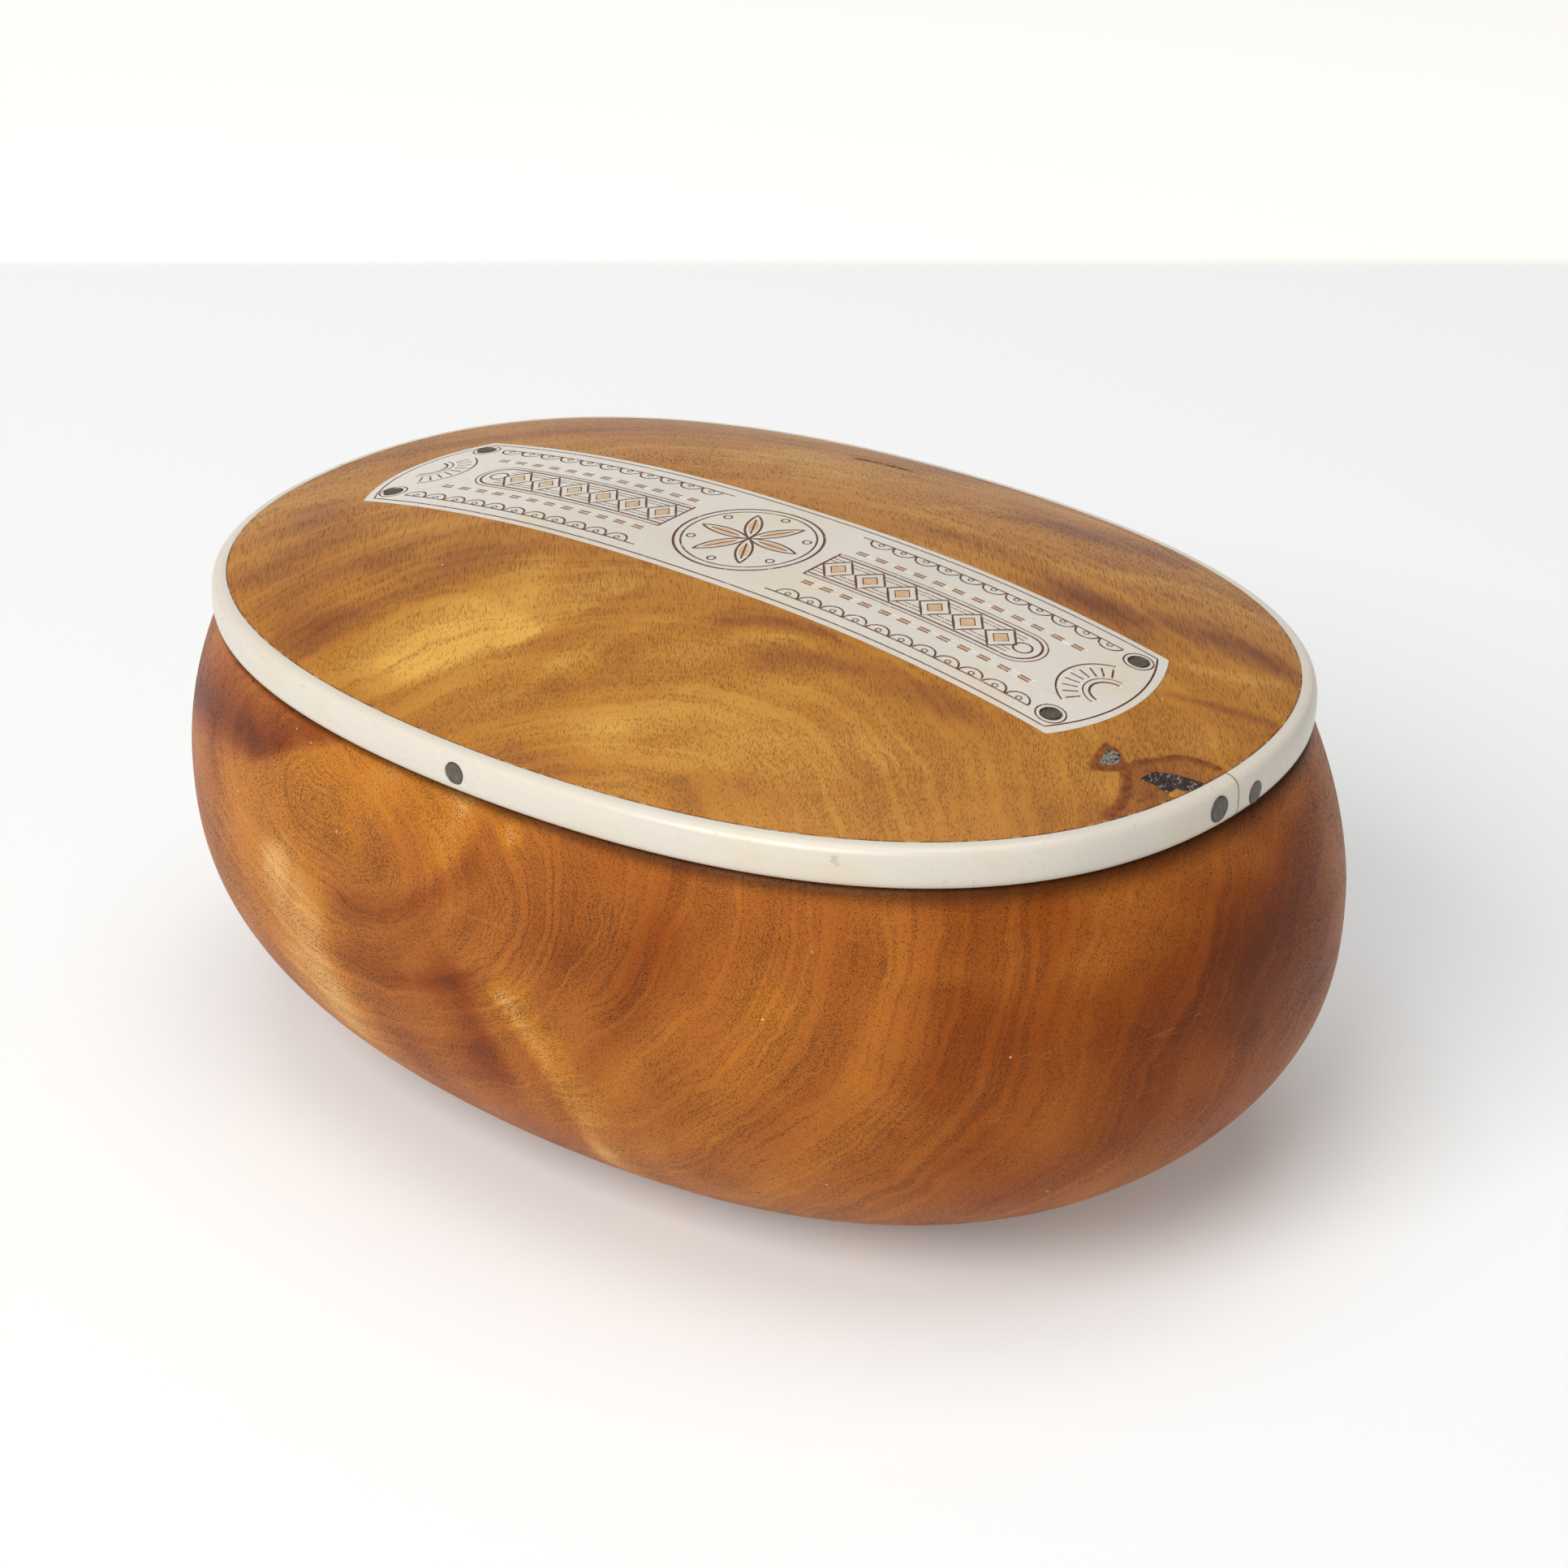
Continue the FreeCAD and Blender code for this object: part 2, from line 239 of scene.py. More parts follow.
# ---- Nodes written as formulas ----

class Wire:
    """Output of a node, with arithmetic, so that a tree is written as the formula it stands for."""

    def __init__(self, maker, socket):
        self.maker = maker
        self.socket = socket

    def __add__(self, other):
        return self.maker.math("ADD", self, other)

    def __sub__(self, other):
        return self.maker.math("SUBTRACT", self, other)

    def __rsub__(self, other):
        return self.maker.math("SUBTRACT", other, self)

    def __mul__(self, other):
        return self.maker.math("MULTIPLY", self, other)

    def __truediv__(self, other):
        return self.maker.math("DIVIDE", self, other)

    def __rtruediv__(self, other):
        return self.maker.math("DIVIDE", other, self)

    def __pow__(self, other):
        return self.maker.math("POWER", self, other)

    __radd__ = __add__
    __rmul__ = __mul__


class Maker:
    """Adds nodes to one tree. The same calls serve geometry trees and shader trees."""

    def __init__(self, tree):
        self.tree = tree

    def node(self, kind, inputs=None, **settings):
        node = self.tree.nodes.new(kind)
        count = len(self.tree.nodes)
        node.location = (180 * (count % 16), -220 * (count // 16))
        for name, value in settings.items():
            setattr(node, name, value)
        return self.fill(node, inputs or {})

    def fill(self, node, inputs):
        """Links or sets inputs of a node by name or number."""
        for key, value in inputs.items():
            if isinstance(value, Wire):
                self.tree.links.new(value.socket, node.inputs[key])
            else:
                node.inputs[key].default_value = value
        return node

    def out(self, kind, inputs=None, output=0, **settings):
        return Wire(self, self.node(kind, inputs, **settings).outputs[output])

    def math(self, operation, first, second=0.0, third=0.0):
        return self.out("ShaderNodeMath", {0: first, 1: second, 2: third}, operation=operation)

    def smooth(self, value, low, high):
        """0 below low, 1 above high and a soft step between them."""
        inputs = {"Value": value, "From Min": low, "From Max": high}
        return self.out("ShaderNodeMapRange", inputs, interpolation_type="SMOOTHSTEP")

    def vector(self, x, y, z):
        return self.out("ShaderNodeCombineXYZ", {"X": x, "Y": y, "Z": z})

    def split(self, vector):
        node = self.node("ShaderNodeSeparateXYZ", {"Vector": vector})
        return [Wire(self, socket) for socket in node.outputs]

    def aim(self, operation, first, second=(0.0, 0.0, 0.0)):
        """Vector arithmetic; DOT_PRODUCT and LENGTH give a number."""
        output = 1 if operation in ("DOT_PRODUCT", "LENGTH", "DISTANCE") else 0
        return self.out("ShaderNodeVectorMath", {0: first, 1: second}, output, operation=operation)

    def scaled(self, vector, factor):
        return self.out("ShaderNodeVectorMath", {"Vector": vector, "Scale": factor}, operation="SCALE")

    def noise(self, vector, scale, detail=2.0, roughness=0.5, output="Fac", **settings):
        inputs = {"Vector": vector, "Scale": scale, "Detail": detail, "Roughness": roughness}
        return self.out("ShaderNodeTexNoise", inputs, output, **settings)

    def mix(self, factor, first, second, blend="MIX"):
        return self.out(
            "ShaderNodeMix", {0: factor, 6: first, 7: second}, 2, data_type="RGBA", blend_type=blend)

    def attribute(self, name, output="Fac"):
        return self.out("ShaderNodeAttribute", None, output, attribute_name=name)

    def wires(self, node):
        """Outputs of a node by name."""
        return {socket.name: Wire(self, socket) for socket in node.outputs if socket.name}

    def group(self, tree, inputs):
        return self.wires(self.node("ShaderNodeGroup", inputs, node_tree=tree))

    def results(self, values):
        """Ends a group with its named results, and gives its tree."""
        self.node("NodeGroupOutput", values)
        return self.tree

    def drift(self, place, scale, roughness, reach):
        """Small smooth shift of a place, up to half the reach each way."""
        push = self.noise(place, scale, 2.0, roughness, "Color")
        return self.scaled(self.aim("SUBTRACT", push, (0.5, 0.5, 0.5)), reach)

    def split_along(self, place, fibre):
        """A place's distance along the fibre, and what is left of it across the fibre."""
        along = self.aim("DOT_PRODUCT", place, fibre)
        return along, self.aim("SUBTRACT", place, self.scaled(fibre, along))

    def stretched(self, place, fibre, across, lengthwise):
        """Place for a noise that runs along the fibre, with its scales across and along it."""
        along, beside = self.split_along(place, fibre)
        return self.aim("ADD", self.scaled(beside, across), self.scaled(fibre, along * lengthwise))


def blend(start, end, share):
    """The start at share 0 and the end at share 1, for wires as well as for numbers."""
    return start + (end - start) * share


def rgba(value):
    """Colour with full alpha, from a colour setting or an sRGB code."""
    red, green, blue = linear(value) if isinstance(value, int) else value
    return (red, green, blue, 1.0)


def new_group(name, inputs, outputs):
    """Shader node group with named sockets: its maker and its inputs by name."""
    tree = bpy.data.node_groups.new(name, "ShaderNodeTree")
    for socket_name, kind, default in inputs:
        socket = tree.interface.new_socket(socket_name, in_out="INPUT", socket_type=kind)
        if default is not None:
            socket.default_value = default
    for socket_name, kind in outputs:
        tree.interface.new_socket(socket_name, in_out="OUTPUT", socket_type=kind)
    maker = Maker(tree)
    return maker, maker.wires(maker.node("NodeGroupInput"))


FLOAT = "NodeSocketFloat"
VECTOR = "NodeSocketVector"
COLOUR = "NodeSocketColor"


# ---- Surface effects that several materials share ----

WOOD_COLOURS = ("Streak", "Shade", "Body", "Light", "Glow", "Pore")
WOOD_AMOUNTS = ("Rings", "Ripple", "Silk", "Pores", "Growth")


def make_wood_group():
    """Figured birch: growth rings round a heart line, cross ripples, silk along the fibres and pores."""
    inputs = [("Place", VECTOR, None), ("Figure", FLOAT, 0.0)]
    inputs += [(name, VECTOR, None) for name in ("Heart", "Heart Axis", "Fibre")]
    inputs += [(name, FLOAT, 0.0) for name in WOOD_AMOUNTS]
    inputs += [(name, COLOUR, None) for name in WOOD_COLOURS]
    outputs = [("Color", COLOUR), ("Roughness", FLOAT), ("Height", FLOAT)]
    maker, wire = new_group("figured_birch", inputs, outputs)

    # The place is moved about first, so that rings and ripples come out wavy.
    place = wire["Place"]
    fibre = wire["Fibre"]
    swayed = maker.aim("ADD", place, maker.drift(place, 17.0, 0.5, 0.022))
    swayed = maker.aim("ADD", swayed, maker.drift(place, 110.0, 0.6, 0.0042))

    # Rings lie round the heart line and are flatter in height.
    from_heart = maker.aim("MULTIPLY", maker.aim("SUBTRACT", swayed, wire["Heart"]), (1.0, 1.0, 1.6))
    radius = maker.aim("LENGTH", maker.split_along(from_heart, wire["Heart Axis"])[1])
    slow_x, slow_y, slow_z = maker.split(maker.scaled(swayed, 9.0))
    broad = maker.noise(maker.vector(radius * 105.0, slow_x, slow_z), 1.0, 1.0)
    fine = maker.noise(maker.vector(radius * 480.0, slow_x * 2.0, slow_y * 2.0), 1.0, 2.0)

    ripple = maker.noise(maker.stretched(swayed, fibre, 26.0, 95.0), 1.0, 2.0, 0.55)
    silk = maker.noise(maker.stretched(place, fibre, 1500.0, 130.0), 1.0, 2.0, 0.6)
    mottle = maker.noise(swayed, 24.0, 3.0, 0.5)

    # Pores crowd together in patches and between the fine rings.
    specks = maker.noise(maker.stretched(place, fibre, 4800.0, 260.0), 1.0, 1.0, 0.5)
    crowd = maker.noise(place, 60.0, 2.0)
    pores = maker.smooth(specks + (crowd - 0.5) * 0.2 - (fine - 0.5) * wire["Rings"] * 0.7, 0.52, 0.68)
    growth = maker.smooth(maker.math("ABSOLUTE", fine - 0.5), 0.07, 0.0)
    growth = growth * maker.smooth(specks + (crowd - 0.5) * 0.6, 0.38, 0.6)

    tone = wire["Figure"] * (ripple * 0.7 + 0.65) + 0.5
    tone = tone + (broad - 0.5) * wire["Rings"] * 1.4 + (fine - 0.5) * wire["Rings"]
    tone = tone + (ripple - 0.5) * wire["Ripple"] * 1.6 + (mottle - 0.5) * 0.4
    tone = tone + (silk - 0.5) * wire["Silk"]

    # Each colour takes over from the one before it as the tone rises.
    surface = wire["Streak"]
    for colour_name, low, high in (
        ("Shade", 0.0, 0.27), ("Body", 0.2, 0.5), ("Light", 0.45, 0.75), ("Glow", 0.72, 1.1),
    ):
        surface = maker.mix(maker.smooth(tone, low, high), surface, wire[colour_name])
    surface = maker.mix(growth * wire["Growth"], surface, wire["Pore"])
    surface = maker.mix(pores * wire["Pores"], surface, wire["Pore"])
    return maker.results({
        "Color": surface,
        "Roughness": 0.43 + pores * 0.2 + (silk - 0.5) * 0.12,
        "Height": 0.0 - pores + (silk - 0.5) * 0.5,
    })


def make_antler_group():
    """Polished antler: cloudy ivory with faint fibres along it and scattered pinholes."""
    inputs = [("Place", VECTOR, None)]
    inputs += [(name, COLOUR, None) for name in ("Body", "Warm", "Cool")]
    outputs = [("Color", COLOUR), ("Roughness", FLOAT), ("Height", FLOAT)]
    maker, wire = new_group("polished_antler", inputs, outputs)
    place = wire["Place"]
    clouds = maker.noise(place, 55.0, 3.0, 0.55)
    drift = maker.noise(place, 21.0, 2.0)
    fibres = maker.noise(maker.stretched(place, (1.0, 0.0, 0.0), 1500.0, 220.0), 1.0, 2.0, 0.6)
    holes = maker.smooth(maker.noise(place, 1300.0, 0.0), 0.77, 0.83)
    surface = maker.mix(maker.smooth(clouds, 0.5, 0.72) * 0.5, wire["Body"], wire["Warm"])
    surface = maker.mix(maker.smooth(drift, 0.48, 0.7) * 0.55, surface, wire["Cool"])
    surface = maker.mix(maker.smooth(fibres, 0.5, 0.8) * 0.28, surface, wire["Warm"])
    surface = maker.mix(holes * 0.35, surface, wire["Warm"], "MULTIPLY")
    return maker.results({
        "Color": surface,
        "Roughness": 0.3 + (clouds - 0.5) * 0.2 + holes * 0.2,
        "Height": (fibres - 0.5) * 0.5 - holes,
    })


def make_wear_group():
    """Hairline scratches and specks of dust from handling."""
    inputs = [("Place", VECTOR, None)]
    outputs = [("Scratch", FLOAT), ("Speck", FLOAT)]
    maker, wire = new_group("handling", inputs, outputs)
    place = wire["Place"]
    marks = None
    for turn, seed in ((0.4, 3.1), (1.7, 8.4), (2.6, 15.2)):
        settings = {"Vector": place, "Rotation": (0.3, turn, turn), "Scale": (1.0, 1.0, 14.0)}
        laid = maker.aim("ADD", maker.out("ShaderNodeMapping", settings), (seed, seed, seed))
        line = maker.smooth(maker.math("ABSOLUTE", maker.noise(laid, 34.0, 1.0) - 0.5), 0.006, 0.0)
        line = line * maker.smooth(maker.noise(laid, 9.0, 0.0), 0.55, 0.7)
        marks = line if marks is None else maker.math("MAXIMUM", marks, line)
    cells = maker.out("ShaderNodeTexVoronoi", {"Vector": place, "Scale": 190.0, "Randomness": 1.0})
    rare = maker.smooth(maker.noise(place, 71.0, 0.0), 0.6, 0.68)
    return maker.results({"Scratch": marks * 0.5, "Speck": maker.smooth(cells, 0.06, 0.03) * rare * 0.7})


def new_material(name):
    """Material with a Principled BSDF: the material, its maker and the shader node."""
    material = bpy.data.materials.new(name)
    material.use_nodes = True
    material.node_tree.nodes.clear()
    maker = Maker(material.node_tree)
    shader = maker.node("ShaderNodeBsdfPrincipled")
    maker.node("ShaderNodeOutputMaterial", {"Surface": Wire(maker, shader.outputs[0])})
    return material, maker, shader


def finish_surface(maker, shader, base, roughness, height, depth, extra):
    """Joins the colour, the roughness, a bump of a depth and the extra inputs to the shader."""
    bump = maker.out("ShaderNodeBump", {"Height": height, "Strength": 1.0, "Distance": depth})
    maker.fill(shader, {"Base Color": base, "Roughness": roughness, "Normal": bump, **extra})


def object_place(maker):
    return maker.out("ShaderNodeTexCoord", None, "Object")


def make_wood_material(name, look, heart, heart_axis, fibre, amounts):
    """Oiled, figured birch for the bowl or the lid."""
    material, maker, shader = new_material(name)
    place = object_place(maker)
    wood = maker.group(make_once("wood"), {
        "Place": place,
        "Figure": maker.attribute("figure"),
        "Heart": heart,
        "Heart Axis": Vector(heart_axis).normalized(),
        "Fibre": Vector(fibre).normalized(),
        **{key: amounts[key.lower()] for key in WOOD_AMOUNTS},
        **{key: rgba(getattr(look, key.lower())) for key in WOOD_COLOURS},
    })
    wear = maker.group(make_once("wear"), {"Place": place})

    # The rim attribute darkens the wood at its edge: on the lid a dark joint against the band with pale
    # filler in it, on the bowl painted shade under the lid's band.
    edge = maker.attribute("rim") + (maker.noise(place, 1100.0, 2.0) - 0.5) * amounts["ragged"]
    flecks = maker.smooth(maker.noise(place, 520.0, 2.0, 0.6), 0.5, 0.62) * amounts["filler"]
    rim_joint_and_shade_tone = maker.mix(flecks, rgba(look.edge), rgba(FILLER))
    rim_joint_and_shade_mask = maker.smooth(edge, amounts["rim_start"], 0.95) * 0.75
    surface = maker.mix(rim_joint_and_shade_mask, wood["Color"], rim_joint_and_shade_tone)
    surface = maker.mix(wear["Scratch"] * 0.25, surface, rgba(look.glow))
    surface = maker.mix(wear["Speck"] * 0.6, surface, rgba(DUST))

    knot = maker.attribute("knot")
    rough_edge = maker.noise(place, 420.0, 3.0, 0.6) - 0.5
    knot_grain = maker.smooth(maker.noise(place, 900.0, 3.0, 0.65), 0.35, 0.65)
    knot_tone = maker.mix(knot_grain, rgba(KNOT_DARK), rgba(KNOT_PALE))
    surface = maker.mix(maker.smooth(knot + rough_edge * 0.5, 0.22, 0.85) * 0.88, surface, knot_tone)

    # Bark is paler where it lies in a knot.
    flakes = maker.noise(place, 1500.0, 2.0, 0.6) + maker.smooth(knot, 0.5, 0.8) * 0.16
    bark_tone = maker.mix(maker.smooth(flakes, 0.5, 0.72), rgba(BARK_DARK), rgba(BARK_PALE))
    bark_mask = maker.smooth(maker.attribute("bark") + rough_edge * 0.7, 0.3, 0.5)
    surface = maker.mix(bark_mask, surface, bark_tone)

    roughness = wood["Roughness"] + wear["Scratch"] * 0.1
    shine = {"Specular IOR Level": amounts["gloss"], "Specular Tint": rgba(look.sheen)}
    finish_surface(maker, shader, surface, roughness, wood["Height"], 0.03 * MM, shine)
    return material


def nearest_pin(maker, place, pins):
    """Distance from a place to the nearest pin's edge; each pin is its centre and radius."""
    nearest = None
    for centre, radius in pins:
        gap = maker.aim("DISTANCE", place, centre) - radius
        nearest = gap if nearest is None else maker.math("MINIMUM", nearest, gap)
    return nearest


# Small bruise on the front of the band.
BRUISE_PLACE = (0.0681, -0.0622, 0.0884)
# Light enters antler a little, and the polish shines.
ANTLER_DEPTH = {
    "Subsurface Weight": 0.25,
    "Subsurface Radius": (1.0, 0.75, 0.5),
    "Subsurface Scale": 0.0012,
    "Specular IOR Level": 0.5,
}


def make_strip_material(look, pins):
    """Antler of the edge strips, with grime round the pins, a bruise, and glue in the joints."""
    material, maker, shader = new_material("antler_strip")
    place = object_place(maker)
    laid = maker.attribute("strip_place", "Vector")
    antler = maker.group(make_once("antler"), {
        "Place": laid, "Body": rgba(look.body), "Warm": rgba(look.warm), "Cool": rgba(look.cool),
    })
    rim = nearest_pin(maker, place, pins) + (maker.noise(place, 1500.0, 1.0) - 0.5) * 0.3 * MM
    bruise = maker.aim("DISTANCE", place, BRUISE_PLACE)
    bruise = bruise + (maker.noise(place, 1400.0, 3.0, 0.7) - 0.5) * 4.0 * MM
    foot = maker.split(laid)[2]
    end = maker.attribute("joint_distance")
    surface = antler["Color"]
    for distance, far, near, strength, tone in (
        (rim, 0.24, 0.0, 1.0, GRIME),
        (rim, 0.9, 0.2, 0.1, STAIN),
        (bruise, 1.0, 0.4, 0.4, BRUISE),
        (foot, STRIP_LOW.z / MM + 0.7, STRIP_LOW.z / MM + 0.2, 0.45, look.glue),
        (end, 0.3, 0.12, 0.85, look.glue),
        (end, 2.5, 0.0, 0.15, look.warm),
    ):
        surface = maker.mix(maker.smooth(distance, far * MM, near * MM) * strength, surface, rgba(tone))
    finish_surface(
        maker, shader, surface, antler["Roughness"], antler["Height"], 0.012 * MM, ANTLER_DEPTH)
    return material


def make_plate_material(look, pins):
    """Engraved antler: the masks put pigment in the lines and in the tinted fields."""
    material, maker, shader = new_material("antler_plate")
    place = object_place(maker)
    antler = maker.group(make_once("antler"), {
        "Place": place, "Body": rgba(look.plate), "Warm": rgba(look.warm), "Cool": rgba(look.cool),
    })
    surface = antler["Color"]
    rings = maker.out("ShaderNodeTexVoronoi", {"Vector": place, "Scale": 62.0}, "Distance")
    faint = maker.smooth(maker.math("ABSOLUTE", rings - 0.32), 0.03, 0.0)
    faint = faint * maker.smooth(maker.noise(place, 30.0, 1.0), 0.52, 0.62)
    surface = maker.mix(faint * 0.18, surface, rgba(look.warm), "MULTIPLY")
    patchy = maker.noise(place, 700.0, 2.0, 0.6)
    tint = maker.attribute("tint")
    surface = maker.mix(tint * maker.smooth(patchy, 0.15, 0.5) * 0.9, surface, rgba(look.tan))
    ink = maker.attribute("ink")
    surface = maker.mix(ink * maker.smooth(patchy, 0.05, 0.45), surface, rgba(look.ink))
    rim = nearest_pin(maker, place, pins) + (patchy - 0.5) * 0.2 * MM
    surface = maker.mix(maker.smooth(rim, 0.2 * MM, 0.0), surface, rgba(GRIME))
    roughness = antler["Roughness"] + ink * 0.25
    finish_surface(maker, shader, surface, roughness, antler["Height"], 0.012 * MM, ANTLER_DEPTH)
    return material


def make_horn_material(look):
    """Dark horn pins whose end grain shows as fine parallel fibres."""
    material, maker, shader = new_material("dark_pin")
    shift = maker.attribute("pin_shade")
    x, y, z = maker.split(maker.attribute("pin_place", "Vector"))
    lines = maker.noise(maker.vector(x * 5200.0 + shift * 40.0, y * 700.0, z * 700.0), 1.0, 2.0, 0.6)
    cloud = maker.noise(maker.vector(x * 500.0 + shift * 9.0, y * 500.0, z * 500.0), 1.0, 1.0)
    surface = maker.mix(maker.smooth(lines, 0.35, 0.62), rgba(look.dark), rgba(look.body))
    surface = maker.mix(maker.smooth(cloud, 0.5, 0.75) * 0.4, surface, rgba(HORN_CLOUD))
    edge = maker.math("SQRT", x * x + y * y)
    surface = maker.mix(maker.smooth(edge, 1.55 * MM, 1.85 * MM) * 0.55, surface, rgba(look.dark))
    roughness = 0.42 + (lines - 0.5) * 0.3
    finish_surface(maker, shader, surface, roughness, lines, 0.02 * MM, {"Specular IOR Level": 0.5})
    return material


GROUP_MAKERS = {"wood": make_wood_group, "antler": make_antler_group, "wear": make_wear_group}
made_groups = {}


def make_once(name):
    """Node group by name, built at its first use."""
    if name not in made_groups:
        made_groups[name] = GROUP_MAKERS[name]()
    return made_groups[name]


# ---- Shapes that follow the box's rules ----

def oval_points(half_length, half_width, squareness, angles):
    """Plan points of the oval at parameter angles."""
    bulge = 1 + squareness * np.sin(2 * angles) ** 2
    return half_length * np.cos(angles) * bulge, half_width * np.sin(angles) * bulge


def lid_share(lid, x, y):
    """0 at the middle of the lid and 1 at the board's outline."""
    half_length = lid.half_length - lid.band_thickness
    half_width = lid.half_width - lid.band_thickness
    angles = np.arctan2(y / half_width, x / half_length)
    return np.hypot(x / half_length, y / half_width) / (1 + lid.squareness * np.sin(2 * angles) ** 2)


def dome_height(lid, x, y):
    """Height of the lid's upper side over plan points."""
    rise = lid.crown - lid.band_height
    return lid.seat + lid.band_height + rise * (1 - lid_share(lid, x, y) ** lid.fullness)


def bowl_half_sizes(bowl, lid, level):
    """Half length, half width and squareness of the bowl's outside at a level from -1 to 1."""
    rim_length = lid.half_length - bowl.rim_setback
    rim_width = lid.half_width - bowl.rim_setback
    if level >= 0:
        turn = level ** bowl.shoulder
        return (
            blend(bowl.belly_half_length, rim_length, turn),
            blend(bowl.belly_half_width, rim_width, turn),
            blend(bowl.belly_squareness, lid.squareness, turn),
        )
    turn = (1 - (-level) ** bowl.flank) ** (1 / bowl.foot)
    return (
        blend(bowl.base_half_length, bowl.belly_half_length, turn),
        blend(bowl.base_half_width, bowl.belly_half_width, turn),
        bowl.belly_squareness,
    )


def bowl_point(bowl, lid, degrees, height):
    """Point on the bowl's outside at an angle and a height."""
    belly_height = bowl.height - bowl.belly_drop
    reach = bowl.belly_drop if height >= belly_height else belly_height
    half_length, half_width, squareness = bowl_half_sizes(bowl, lid, (height - belly_height) / reach)
    x, y = oval_points(half_length, half_width, squareness, math.radians(degrees))
    return (x, y, height)


# ---- Meshes ----

@contextmanager
def edited(mesh):
    """Gives a mesh as an editable one and writes it back."""
    work = bmesh.new()
    work.from_mesh(mesh)
    yield work
    work.to_mesh(mesh)
    work.free()


def new_object(name, data):
    made = bpy.data.objects.new(name, data)
    bpy.context.scene.collection.objects.link(made)
    return made


def new_piece(name, mesh, material):
    mesh.name = name
    mesh.materials.clear()
    mesh.materials.append(material)
    return new_object(name, mesh)


def soften(mesh, degrees):
    """Smooth shading with sharp edges where faces meet at more than an angle."""
    limit = math.radians(degrees)
    with edited(mesh) as work:
        for face in work.faces:
            face.smooth = True
        for edge in work.edges:
            edge.smooth = len(edge.link_faces) == 2 and edge.calc_face_angle(0.0) < limit


def close_ends(mesh):
    """Caps every open end with faces that point outwards."""
    with edited(mesh) as work:
        open_edges = [edge for edge in work.edges if edge.is_boundary]
        made = bmesh.ops.holes_fill(work, edges=open_edges, sides=0)
        bmesh.ops.triangulate(work, faces=made["faces"])
        bmesh.ops.recalc_face_normals(work, faces=work.faces)


def read_vectors(items, field):
    """A vector field of every item, one row each."""
    values = np.zeros(len(items) * 3)
    items.foreach_get(field, values)
    return values.reshape(-1, 3)


def mesh_places(mesh):
    return read_vectors(mesh.vertices, "co")


def write_numbers(mesh, name, values):
    layer = mesh.attributes.new(name, "FLOAT", "POINT")
    layer.data.foreach_set("value", np.asarray(values, dtype=np.float32))


def write_vectors(mesh, name, values):
    layer = mesh.attributes.new(name, "FLOAT_VECTOR", "POINT")
    layer.data.foreach_set("vector", np.asarray(values, dtype=np.float32).ravel())


def cut_with(piece, cutters):
    """Cuts closed meshes out of a piece, and removes them."""
    for cutter in cutters:
        modifier = piece.modifiers.new("cut", "BOOLEAN")
        modifier.operation = "DIFFERENCE"
        modifier.solver = "EXACT"
        modifier.object = cutter
    apply_modifiers(piece)
    for cutter in cutters:
        bpy.data.objects.remove(cutter)


def apply_modifiers(piece):
    bpy.context.view_layer.update()
    evaluated = piece.evaluated_get(bpy.context.evaluated_depsgraph_get())
    mesh = bpy.data.meshes.new_from_object(evaluated)
    piece.modifiers.clear()
    old = piece.data
    piece.data = mesh
    mesh.name = old.name
    bpy.data.meshes.remove(old)


def swept_mesh(rows):
    """Mesh of rows of points joined row to row. Each row runs round a loop, and a row shrunk to a point
    closes the mesh."""
    row_count, count = rows.shape[:2]
    faces = []
    for row in range(row_count - 1):
        here, there = row * count, (row + 1) * count
        for column in range(count):
            after = (column + 1) % count
            faces.append((here + column, here + after, there + after, there + column))
    mesh = bpy.data.meshes.new("swept")
    mesh.from_pydata(rows.reshape(-1, 3).tolist(), [], faces)
    with edited(mesh) as work:
        bmesh.ops.remove_doubles(work, verts=work.verts, dist=SAME_PLACE)
        bmesh.ops.dissolve_degenerate(work, edges=work.edges, dist=SAME_PLACE)
    return mesh


def pin_cutters(places, gap, depth):
    """Rods that cut the pins' holes: each is its pin and the gap round it, down to a depth."""
    sides = 48
    angles = np.linspace(0, math.tau, sides, endpoint=False)
    cutters = []
    for centre, axis, radius in places:
        turn = Vector(axis).normalized().to_track_quat("Z", "Y")
        wide = radius + gap
        rows = []
        for reach, size in ((-depth, 0.0), (-depth, wide), (CLEAR, wide), (CLEAR, 0.0)):
            ring = [Vector((size * math.cos(angle), size * math.sin(angle), reach)) for angle in angles]
            rows.append([tuple(turn @ point + Vector(centre)) for point in ring])
        cutters.append(new_object("cutter", swept_mesh(np.array(rows))))
    return cutters


# ---- Figure painted on the wood ----

def smooth_path(points):
    """Catmull-Rom curve through the points, in any number of dimensions."""
    steps = 14
    points = np.array(points, dtype=float)
    padded = np.vstack([2 * points[0] - points[1], points, 2 * points[-1] - points[-2]])
    path = []
    for span in range(len(points) - 1):
        before, start, end, after = padded[span:span + 4]
        for step in range(steps):
            t = step / steps
            path.append(0.5 * (
                2 * start + (end - before) * t
                + (2 * before - 5 * start + 4 * end - after) * t * t
                + (3 * start - before - 3 * end + after) * t ** 3))
    path.append(points[-1])
    return np.array(path)


def brush(places, normals, path, left, right):
    """Soft mark along a path on a surface, from 0 to 1, with a reach of its own to each side."""
    best = np.full(len(places), np.inf)
    side = np.zeros(len(places))
    ends = np.zeros(len(places))
    count = len(path) - 1
    for step in range(count):
        start = path[step]
        along = path[step + 1] - start
        size = along @ along
        t = np.clip((places - start) @ along / size, 0, 1)
        away = places - start - t[:, None] * along
        distance = np.einsum("ij,ij->i", away, away)
        nearer = distance < best
        best[nearer] = distance[nearer]
        turned = np.cross(normals[nearer], along)
        side[nearer] = np.einsum("ij,ij->i", turned, away[nearer])
        ends[nearer] = (step + t[nearer]) / count
    reach = np.where(side > 0, left, right)
    fade = np.clip(1 - np.sqrt(best) / (2 * reach), 0, 1)
    taper = np.clip(np.minimum(ends, 1 - ends) * 6 + 0.25, 0, 1)
    return fade * fade * (3 - 2 * fade) * taper


